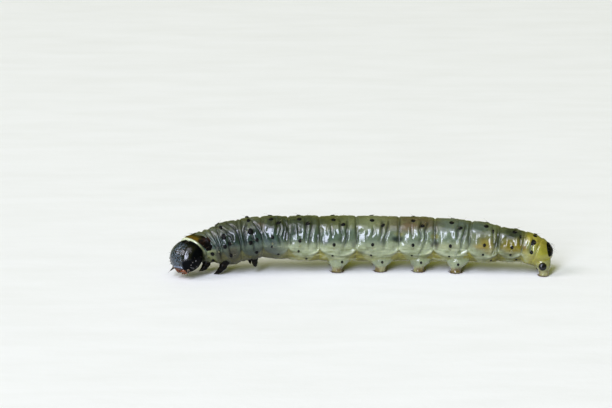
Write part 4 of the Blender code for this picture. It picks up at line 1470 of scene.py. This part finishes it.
def head_look():
    """The black head, with a rough face speckled bluish with painted glints, grey sutures and a wet
    shine.
    """
    base = flat(2, 3, 5)
    look = Look("black_head")
    look.set(Specular_IOR_Level=0.02, Coat_Roughness=0.10, Coat_IOR=1.6)
    grain = look.noise(BLACK_GRAIN, 3.0)
    colour = look.mix(look.ramp(grain, 0.4, 0.7, 0.0, 0.8), base, [value * 2.2 for value in base])
    seams = look.math("MULTIPLY", look.attribute("Suture"), 0.5)
    colour = look.mix(seams, colour, flat(60, 54, 50))
    # Painted glints: pale bluish specks in the rough face's colour.
    painted_glints = look.ramp(look.cells(0.07), 0.44, 0.60, 0.0, 0.85)
    glint_area = look.ramp(look.attribute("Rugose"), 0.35, 0.8, 0.0, 1.0)
    colour = look.mix(look.math("MULTIPLY", painted_glints, glint_area), colour, flat(58, 73, 86))
    look.link(colour, "Base Color")
    share = look.ramp(look.attribute("Rugose"), 0.35, 0.75, 0.06, 1.0)
    lumps = look.math("MULTIPLY", look.cells(0.085, "SMOOTH_F1"), share)
    look.bump(look.math("ADD", lumps, look.math("MULTIPLY", grain, 0.25)), 0.022)
    look.link(look.ramp(look.attribute("Shine"), 0.0, 1.0, 0.05, 1.0), "Coat Weight")
    return look.roughness(0.40)


def black_look(name, coat, coat_rough, relief):
    """Hard glossy cuticle."""
    base = flat(4, 4, 5)
    look = Look(name)
    look.set(Specular_IOR_Level=0.05, Coat_Weight=coat, Coat_Roughness=coat_rough, Coat_IOR=1.45)
    grain = look.noise(BLACK_GRAIN, 3.0)
    tint = [value * 2.2 + 0.002 for value in base]
    look.link(look.mix(look.ramp(grain, 0.4, 0.7, 0.0, 0.8), base, tint), "Base Color")
    look.bump(grain, relief)
    return look.roughness(0.5)


def shaded_look(name, dark, light, rough, coat=0.5, relief=0.004, scatter=0.0, gloss=0.25):
    """A material between two colours by the piece's own shade."""
    look = Look(name)
    look.set(Roughness=rough, Specular_IOR_Level=gloss)
    look.set(Coat_Weight=coat, Coat_Roughness=0.15, Coat_IOR=1.45)
    if scatter:
        look.set(Subsurface_Weight=scatter, Subsurface_Radius=(1.0, 0.6, 0.3))
        look.set(Subsurface_Scale=0.0001)
    grain = look.noise(0.04, 2.0)
    share = look.math("ADD", look.attribute("Shade"), look.ramp(grain, 0.3, 0.7, -0.15, 0.15), True)
    look.link(look.mix(share, flat(*dark), flat(*light)), "Base Color")
    look.bump(grain, relief)
    return look.material


# Plates, hairs and breathing holes


def dome_rings(centre, outward, ahead, radius, profile, sides, stretch=1.0):
    """Rings of a low dome; the profile's rows start with a share of the radius and a height."""
    across = unit(np.cross(ahead, outward))
    along = np.cross(outward, across)
    rings = []
    for share, height, *_ in profile:
        middle = centre + outward * height
        rings.append(ring(middle, across, along, radius * share, radius * share * stretch, sides))
    return np.array(rings)


def spot_places():
    """Every bristle plate: place along the body, degrees and radius."""
    places = []
    for index, spots, back, turn in SPOT_ROWS:
        for u, degrees, radius in spots:
            if degrees > 150 and 5 <= index <= 8:
                degrees = PROLEG_SPOT
            for side, _ in SIDES:
                places.append((index + u + back, side * degrees * turn, radius))
    return places


def on_skin(tree, s, degrees, lift=0.0):
    """One point of the skin with its outward and forward directions."""
    s = np.float64(s)
    centre, forward, left, dorsal = spine_frame(s)
    outward = outward_of(degrees, left, dorsal)
    reach = float(plain_radius(s, degrees)) + 0.45
    hit, *_ = tree.ray_cast(Vector(centre + outward * reach), Vector(-outward), reach)
    place = skin_point(s, np.float64(degrees)) if hit is None else np.array(hit)
    across = np.cross(forward, outward)
    near = []
    for step in (forward, -forward, across, -across):
        beside = place + step * 0.09
        hit, *_ = tree.ray_cast(Vector(beside + outward * 0.3), Vector(-outward), 0.8)
        near.append(beside if hit is None else np.array(hit))
    normal = unit(np.cross(near[2] - near[3], near[0] - near[1]))
    if normal @ outward < 0:
        normal = -normal
    return place + normal * lift, normal, unit(near[0] - near[1])


def map_place(s, degrees):
    """A place on the unwrapped skin."""
    return (0.01 + 0.98 * s / (LAST + 1), 0.01 + 0.98 * (degrees + 180.0) / 360.0)


def plate_form(s, degrees):
    """A plate's lift, size, stretch along the body and how much its profile is raised."""
    away = abs(degrees)
    if s < THORAX_END:
        return 0.016, 1.27, 0.85, 2.2
    raised = 1.3 if away < 30 else 1.1
    if away < 60:
        return 0.0, 1.36 - 0.008 * (away - 21), 1.0, raised
    return 0.0, 0.95, 0.85, raised


def build_plates(tree):
    """The black plates that carry the bristles."""
    shape = Shape()
    for s, degrees, radius in spot_places():
        lift, size, stretch, raised = plate_form(s, degrees)
        centre, outward, ahead = on_skin(tree, s, degrees, lift)
        profile = [(share, height * raised if height > 0 else height) for share, height in PLATE_PROFILE]
        rings = dome_rings(centre, outward, ahead, radius * size, profile, 22, stretch)
        shape.loft(rings, map_place(s, degrees))
    return to_row(shape.object("bristle_plates"))


def bristle(shape, root, direction, droop, length, radius, place):
    """A thin tapered hair that bends along its length."""
    t = np.linspace(0.0, 1.0, BRISTLE_RINGS)[:, None]
    path = root + direction * length * t + droop * length * t * t
    radii = radius * (1.0 - 0.85 * t[:, 0])
    shape.loft(tube(path, radii, BRISTLE_SIDES), place, t[:, 0])


def scatter(draw):
    """A small random direction."""
    return np.array([draw.uniform(-0.2, 0.2) for _ in range(3)])


def plate_hairs(shape, tree, draw):
    """One hair on each plate, leaning along the body, and backwards on the tail."""
    for s, degrees, _ in spot_places():
        centre, outward, ahead = on_skin(tree, s, degrees, 0.02)
        lean = ahead * draw.choice((-1.0, 1.0)) + scatter(draw)
        if s > TAIL_HAIRS:
            lean = -ahead
        length = draw.uniform(0.24, 0.34)
        droop = ahead * draw.uniform(-0.15, 0.15)
        direction = unit(outward * 0.5 + lean)
        bristle(shape, centre, direction, droop, length, 0.0065, map_place(s, degrees))


def head_hairs(shape, side, draw):
    """Hairs on one side of the head, leaning to the mouth."""
    for x, y, z, length in HEAD_HAIRS:
        root = head_surface(unit((side * x, y, z)))
        out = unit(root - HEAD_CENTRE)
        direction = unit(out * 0.7 + HEAD_MOUTH * 0.35 + scatter(draw))
        place = (0.003 + 0.004 * (x + z + 1.0), 0.5 + side * 0.2 * abs(y))
        bristle(shape, root - out * 0.01, direction, HEAD_MOUTH * 0.12, length, 0.004, place)


def shield_hairs(shape, tree, side):
    """Hairs on one side of the two shields."""
    for places, lift, steep, way, length in SHIELD_HAIRS:
        for turn, s in places:
            centre, outward, ahead = on_skin(tree, s, side * turn, lift)
            lean = ahead * way
            direction = unit(outward * steep + lean)
            bristle(shape, centre, direction, lean * 0.1, length, 0.007, map_place(s, side * turn))


def proleg_hairs(shape):
    """Three hairs on the outer side of each middle proleg."""
    for index, side, foot, _ in proleg_feet():
        out = np.array((0.0, -side, 0.0))
        for shift, height in ((-0.16, 0.30), (0.0, 0.24), (0.17, 0.33)):
            root = np.array((foot[0] + shift, foot[1] - side * 0.22, height))
            place = map_place(index + 0.5 + shift * 0.5, side * 160)
            direction = unit(out + (shift, 0, -0.35))
            bristle(shape, root, direction, out * 0.05, 0.20, 0.0065, place)


def build_bristles(tree):
    """Pale hairs on the body and the prolegs, and dark ones on the head and the shields."""
    draw = random.Random(7)
    pale, dark = Shape(), Shape()
    plate_hairs(pale, tree, draw)
    for side, _ in SIDES:
        head_hairs(dark, side, draw)
        shield_hairs(dark, tree, side)
    proleg_hairs(pale)
    return to_row(pale.object("bristles", "OFBake")), to_row(dark.object("dark_bristles", "OFBake"))


def build_spiracles(tree):
    """Small oval breathing holes with a raised pale rim."""
    shape = Shape()
    rows = [THORAX_SPIRACLE]
    for index, _, back, turn in SPOT_ROWS:
        if 3 <= index <= 10:
            rows.append((index + SPIRACLE_PLACE + back, SPIRACLE_ANGLE * (0.5 + 0.5 * turn)))
    for s, turn in rows:
        size = LAST_SPIRACLE_RADIUS if s > 10 else SPIRACLE_RADIUS
        for side, _ in SIDES:
            centre, outward, ahead = on_skin(tree, s, side * turn)
            rings = dome_rings(centre, outward, ahead, size, SPIRACLE_PROFILE, 20, 0.72)
            shape.loft(rings, map_place(s, side * turn), [shade for *_, shade in SPIRACLE_PROFILE])
    return to_row(shape.object("spiracles"))


# Shields


def shield_edges(turn, middle, sides):
    """Where a shield's front and rear edges lie, turn running from -1 to 1 over the back."""
    front = middle[0] + (sides[0] - middle[0]) * turn * turn
    rear = middle[1] + (sides[1] - middle[1]) * fade_in(0.0, 0.5, np.abs(turn))
    rear = rear + (front - rear) * SHIELD_CORNER * fade_in(0.75, 1.0, np.abs(turn))
    return front, rear


def front_shield_colours(u, away, share, lumps):
    """Black horn with an olive middle, an amber rear and paler rims, and a brown painted highlight on
    the black.
    """
    colour = mixed(HORN_AMBER, HORN_OLIVE, fade_in(0.1, 0.6, share + 0.3 * lumps))
    dark = fade_in(14.0, 30.0, away + 8 * lumps - 26.0 * (1 - share))
    horn = mixed(HORN_BLACK, HORN_BROWN, fade_in(0.2, 0.8, lumps) * 0.12)
    colour = mixed(colour, horn, np.clip(dark, 0.0, 1.0))
    rim = (fade_in(0.88, 0.93, share) - fade_in(0.97, 1.0, share)) * fade_in(20.0, 40.0, away)
    rim = np.maximum(rim, fade_in(0.94, 0.99, away / SHIELDS[0][-1]))
    colour = mixed(colour, HORN_BROWN, 0.55 * rim)
    # A painted highlight: a brown spot on the side of the black lobe.
    colour = mixed(colour, HORN_BROWN, bump(away, 46.0, 6.0) * bump(u, 0.40, 0.05) * 0.4)
    return mixed(colour, HORN_PALE, fade_out(0.0, 0.10, share) * 0.5 * fade_out(30, 60, away))


def build_shield(name, index, middle, sides, reach):
    """A horny plate over the back with rounded edges that dip into the skin."""
    rows, columns = SHIELD_MESH
    lines = np.linspace(0.0, 1.0, rows), np.linspace(-1.0, 1.0, columns)
    share, turn = np.meshgrid(*lines, indexing="ij")
    front, rear = shield_edges(turn, middle, sides)
    u = front + (rear - front) * share
    degrees = turn * reach
    edge = np.minimum(np.minimum(share, 1 - share) * 5.0, (1 - np.abs(turn)) * 9.0)
    height = np.sqrt(np.clip(edge, 0.0, 1.0)) * (SHIELD_LIFT + SHIELD_DIP) - SHIELD_DIP
    chart = np.stack([u * 4.0, degrees / 20.0, np.zeros_like(u)], axis=-1)
    height = height + 0.005 * noise(chart, 0.5, 41)
    if index == 0:
        height = height - 0.02 * bump(degrees, 0.0, 3.0) * fade_in(0.05, 0.3, share)
    centre, _, left, dorsal = spine_frame(index + u)
    radius = plain_radius(index + u, degrees) + height
    points = centre + outward_of(degrees, left, dorsal) * radius[..., None]
    faces = grid_faces(rows, columns, False)[:, ::-1]
    made = new_object(name, points.reshape(-1, 3), faces)
    lumps = noise(chart.reshape(-1, 3), 0.7, 42)
    if index == 0:
        colour = front_shield_colours(u.ravel(), np.abs(degrees).ravel(), share.ravel(), lumps)
    else:
        colour = mixed(TAIL_BLACK, TAIL_HORN, fade_in(0.3, 1.0, lumps) * 0.4)
    colour_points(made, np.clip(colour, 0.0, 1.0))
    return to_row(made)


def shield_look(name):
    """Hard, glossy, coloured cuticle."""
    look = Look(name)
    look.set(Roughness=0.4, Specular_IOR_Level=0.02)
    look.set(Coat_Weight=0.07, Coat_Roughness=0.05, Coat_IOR=1.4)
    look.link(look.attribute("Colour", "Color"), "Base Color")
    look.bump(look.noise(0.06, 3.0), 0.006)
    return look.material


# Legs and feet


def build_leg(pair, index, side, u, tip):
    """A jointed black leg ending in a claw. One that stands is kept above the floor."""
    _, out, start, bend, end = leg_course(index, u, side, tip)
    girth, sink = LEG_KINDS[pair]
    start = start - out * sink
    last = unit(end - bend)
    path, radii, normals = [], [], []
    for t, radius, _ in LEG_PROFILE:
        point = start * (1 - t) ** 2 + bend * 2 * t * (1 - t) + end * t * t
        if end[2] == 0.0:
            point[2] = max(point[2], radius * girth * 0.8)
        path.append(point)
        radii.append(radius * girth)
        normals.append(unit(out * (1 - t) + last * t))
    shape = Shape()
    shades = np.array([shade for *_, shade in LEG_PROFILE])
    shape.loft(tube(path, radii, 24, normals=normals, flatten=0.9), shade=shades)
    name = f"leg_{pair}_{dict(SIDES)[side]}"
    return to_row(shape.object(name + "_jointed")), name


def hook(shape, foot, turn, sole, size, shade):
    """A small claw at a sole's edge that curves outwards and up."""
    out = np.array((math.cos(turn), math.sin(turn), 0.0))
    root = np.array((*foot, SOLE_LEVEL)) + out * (*sole, 0.0)
    t = np.linspace(0.0, 1.0, 7)[:, None]
    path = root + out * size * (t * 1.05) + UP * size * (0.75 * t * t - 0.25 * t)
    radii = size * 0.16 * (1.0 - 0.92 * t[:, 0] ** 1.4)
    shape.loft(tube(path, radii, 6), shade=shade + 0.3 * t[:, 0])


def build_hooks():
    """Rings of hooks round the soles of the middle prolegs, half rings round the last two."""
    draw = random.Random(11)
    shape = Shape()
    for _, _, foot, _ in proleg_feet():
        for k in range(HOOKS):
            turn = 2 * math.pi * (k + draw.uniform(-0.2, 0.2)) / HOOKS
            size = HOOK_SIZES[k % 2] * draw.uniform(0.9, 1.1)
            hook(shape, foot, turn, SOLE, size, draw.uniform(0.0, 0.12))
    for _, _, foot, _ in anal_feet():
        for k in range(HIND_HOOKS):
            turn = math.pi * (k - (HIND_HOOKS - 1) / 2) / 17 + math.pi
            size = HIND_HOOK_SIZE * draw.uniform(0.85, 1.1)
            hook(shape, foot, turn, HIND_SOLE, size, draw.uniform(0.0, 0.6))
    return to_row(shape.object("foot_hooks"))


def build_anal_plates():
    """The glossy black plate on the outer side of each hind proleg."""
    shape = Shape()
    for _, side, foot, _ in anal_feet():
        centre = np.array((foot[0] - 0.06, foot[1] - side * 0.17, 0.50))
        shape.loft(dome_rings(centre, unit((0.10, -side, 0.25)), UP, 0.19, ANAL_PLATE_PROFILE, 28))
    return to_row(shape.object("hind_proleg_plates"))


# Mouth, feelers and eyes


def mouth_rings(rows, side, sides):
    """Rings across the mouth from rows of along, across, half width, half depth, out, shade."""
    rings = []
    for along, across, half_across, half_out, out, _ in rows:
        centre = head_place(side * across, MOUTH_LEVEL + along, out)
        rings.append(ring(centre, HEAD_LEFT, HEAD_FACE, half_across, half_out, sides))
    return np.array(rings)


def last_column(rows):
    """The shades at the end of each row."""
    return np.array([row[-1] for row in rows])


def head_tube(shape, side, course, sides):
    """A tapered piece of the mouth; its rows are across, along, out, radius and shade."""
    path = [head_place(side * across, MOUTH_LEVEL + along, out) for across, along, out, *_ in course]
    radii = [row[3] for row in course]
    shape.loft(tube(path, radii, sides, turned=HEAD_LEFT), shade=last_column(course))


def build_mouth():
    """Pale band, partly a painted glint, notched upper lip, jaws, and lower lip with spinneret and
    palps.
    """
    band, upper, jaws, lower = Shape(), Shape(), Shape(), Shape()
    band.loft(mouth_rings(CLYPEUS, 1, 40), shade=last_column(CLYPEUS))
    loops = mouth_rings(LIP, 1, 40)
    depths = np.array([max(row[0], 0.0) for row in LIP])[:, None]
    notch = bump((loops - HEAD_CENTRE) @ HEAD_LEFT, 0.0, 0.05) * depths * 0.45
    upper.loft(loops - HEAD_MOUTH * notch[..., None], shade=last_column(LIP))
    for side, _ in SIDES:
        jaws.loft(mouth_rings(JAW, side, 24), shade=last_column(JAW))
        head_tube(lower, side, MAXILLA, 18)
    head_tube(lower, 1, LOWER_LIP, 20)
    return [
        (to_row(band.object("clypeus_band")), ()),
        (to_row(upper.object("upper_lip")), ("labrum",)),
        (to_row(jaws.object("jaws")), ("mandible_left", "mandible_right")),
        (to_row(lower.object("lower_lip")), ("labium",)),
    ]


def build_feelers():
    """Short three-jointed antennae with a bristle at the tip."""
    made = []
    for side, word in SIDES:
        course = []
        for t, radius, shade in FEELER_PROFILE:
            place = [base + (tip - base) * t for base, tip in zip(FEELER_BASE, FEELER_TIP)]
            course.append((*place, radius, shade))
        shape = Shape()
        head_tube(shape, side, course, 16)
        made.append((to_row(shape.object(f"feeler_{word}")), f"antenna_{word}"))
    return made


def build_eyes():
    """Six small glassy eyes on each side of the head."""
    shape = Shape()
    for side, _ in SIDES:
        middle = EYE_MIDDLE * (side, 1, 1)
        down = unit(UP - middle * (UP @ middle))
        ahead = np.cross(middle, down) * side
        for degrees in EYE_TURNS:
            turn = math.radians(degrees)
            step = down * math.cos(turn) + ahead * math.sin(turn)
            place = head_surface(unit(middle + step * EYE_ARC))
            outward = unit(place - HEAD_CENTRE)
            rings = dome_rings(place, outward, HEAD_MOUTH, EYE_RADIUS, EYE_PROFILE, 20)
            shape.loft(rings, shade=last_column(EYE_PROFILE))
    return to_row(shape.object("eyes"))


# Stage


def build_floor():
    """A plain pale floor."""
    line = np.linspace(-FLOOR_HALF, FLOOR_HALF, FLOOR_LINES)
    x, y = np.meshgrid(line, line, indexing="xy")
    points = np.stack([x.ravel(), y.ravel(), np.zeros(x.size)], axis=1)
    faces = grid_faces(FLOOR_LINES, FLOOR_LINES, False)
    made = new_object("floor", points, faces, smooth=False)
    look = Look("pale_floor")
    look.set(Roughness=0.6, Specular_IOR_Level=0.25)
    grain = look.noise(1.6, 4.0, (0.25, 1.0, 1.0))
    colour = look.mix(look.ramp(grain, 0.35, 0.75), flat(241, 241, 242), flat(236, 236, 236))
    look.link(colour, "Base Color")
    look.bump(look.noise(0.5, 4.0), 0.02, 0.5)
    made.data.materials.append(look.material)


def aimed(name, data, place, target):
    """A lamp or camera at a place, looking at a target, both in millimetres."""
    made = bpy.data.objects.new(name, data)
    made.location = Vector(place) * MM
    made.rotation_euler = (Vector(target) - Vector(place)).to_track_quat("-Z", "Y").to_euler()
    bpy.context.scene.collection.objects.link(made)
    return made


def build_lights():
    """A tall window left of the camera, and soft light all round."""
    for name, left, height, width, length, glow, colour in LAMPS:
        turn, tilt = math.radians(left), math.radians(height)
        level = math.cos(tilt)
        away = np.array((-math.sin(turn) * level, -math.cos(turn) * level, math.sin(tilt)))
        data = bpy.data.lights.new(name, "AREA")
        data.shape = "RECTANGLE"
        data.size, data.size_y = width * MM, length * MM
        data.energy = glow * math.pi * width * length * MM * MM
        data.color = colour
        aimed(name, data, LAMP_TARGET + away * LAMP_DISTANCE, LAMP_TARGET)
    world = bpy.data.worlds.new("pale_room")
    world.use_nodes = True
    background = world.node_tree.nodes["Background"]
    background.inputs["Color"].default_value = ROOM_COLOUR
    background.inputs["Strength"].default_value = ROOM_STRENGTH
    bpy.context.scene.world = world


def build_camera():
    """The photo's view: 15 degrees down on the larva's left side."""
    target = Vector(CAMERA_TARGET) - Vector(FLOOR_CENTRE)
    back = Vector((0.0, -math.cos(CAMERA_TILT), math.sin(CAMERA_TILT)))
    data = bpy.data.cameras.new("camera")
    data.sensor_width = SENSOR_WIDTH
    data.lens = SENSOR_WIDTH * CAMERA_DISTANCE / (PHOTO_WIDTH / POINTS_PER_MM)
    data.clip_start = 0.005
    bpy.context.scene.camera = aimed("camera", data, target + CAMERA_DISTANCE * back, target)
    bpy.context.scene.view_settings.view_transform = "Standard"


# The whole model


def dress(piece, material, slot, *nodes):
    """Gives a piece its material, the body it rides on and the nodes that it stands for."""
    piece.data.materials.clear()
    piece.data.materials.append(material)
    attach(piece, "root")
    if nodes:
        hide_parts(*nodes)


def dress_skin():
    """The skin, which stands for all the flesh, and the tree that finds its surface."""
    flesh = [name for name, *_ in SEGMENTS]
    for index, *_ in PROLEGS:
        flesh += [f"proleg_{index - 2}_{word}" for _, word in SIDES]
    flesh += [f"anal_proleg_{word}" for _, word in SIDES]
    skin, tree = build_skin()
    dress(skin, skin_look(), "cuticle", *flesh)
    return tree


def dress_trim(tree):
    """Plates, hairs, breathing holes and shields on the skin."""
    black = black_look("black_cuticle", coat=0.1, coat_rough=0.3, relief=0.004)
    dress(build_plates(tree), black, "black_cuticle")
    pale_hair = shaded_look("pale_hair", (60, 52, 38), (170, 160, 130), 0.35, coat=0.1)
    dark_hair = shaded_look("dark_hair", (16, 12, 10), (92, 74, 52), 0.35, coat=0.2)
    for piece, look in zip(build_bristles(tree), (pale_hair, dark_hair)):
        dress(piece, look, "cuticle")
    spiracle = shaded_look("spiracle_rim", (26, 23, 12), (136, 134, 96), 0.4)
    dress(build_spiracles(tree), spiracle, "cuticle")
    for row in SHIELDS:
        dress(build_shield(*row), shield_look(row[0] + "_horn"), "black_cuticle")


def dress_limbs():
    """The legs, the hooks of the feet and the plates of the hind prolegs."""
    leg = shaded_look("black_leg", (3, 3, 3), (34, 24, 13), 0.4, coat=0.12, gloss=0.03)
    for row in LEGS:
        piece, node = build_leg(*row)
        dress(piece, leg, "black_cuticle", node)
    hooks = shaded_look("brown_hooks", (8, 5, 3), (120, 84, 36), 0.35, coat=0.2)
    dress(build_hooks(), hooks, "foot")
    glossy = black_look("glossy_black_plate", coat=0.8, coat_rough=0.08, relief=0.002)
    dress(build_anal_plates(), glossy, "black_cuticle")


def dress_face():
    """The mouthparts, feelers and eyes."""
    # The band's pale bluish colour is its own pale skin and a painted glint.
    band = shaded_look("pale_clypeus_and_painted_glint", (14, 16, 22), (96, 106, 124), 0.3, coat=0.9)
    lip = shaded_look("brown_lip", (8, 6, 6), (84, 48, 32), 0.3, coat=0.9)
    jaw = shaded_look("brown_jaw", (36, 15, 4), (128, 64, 20), 0.3, coat=0.7)
    mouth = shaded_look("amber_mouth", (52, 24, 6), (132, 72, 24), 0.35, scatter=0.3)
    for (piece, nodes), look in zip(build_mouth(), (band, lip, jaw, mouth)):
        dress(piece, look, "mouthpart" if look is not jaw else "black_cuticle", *nodes)
    feeler = shaded_look("feeler", (16, 13, 12), (120, 100, 76), 0.3)
    for piece, node in build_feelers():
        dress(piece, feeler, "black_cuticle", node)
    eye = shaded_look("dark_eye", (8, 8, 10), (70, 60, 50), 0.08, coat=1.0, relief=0.0005)
    dress(build_eyes(), eye, "black_cuticle")


def main():
    """Builds the pieces and the stage."""
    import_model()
    tree = dress_skin()
    dress(build_head(), head_look(), "black_cuticle", "head")
    dress_trim(tree)
    dress_limbs()
    dress_face()
    build_floor()
    build_lights()
    build_camera()


main()
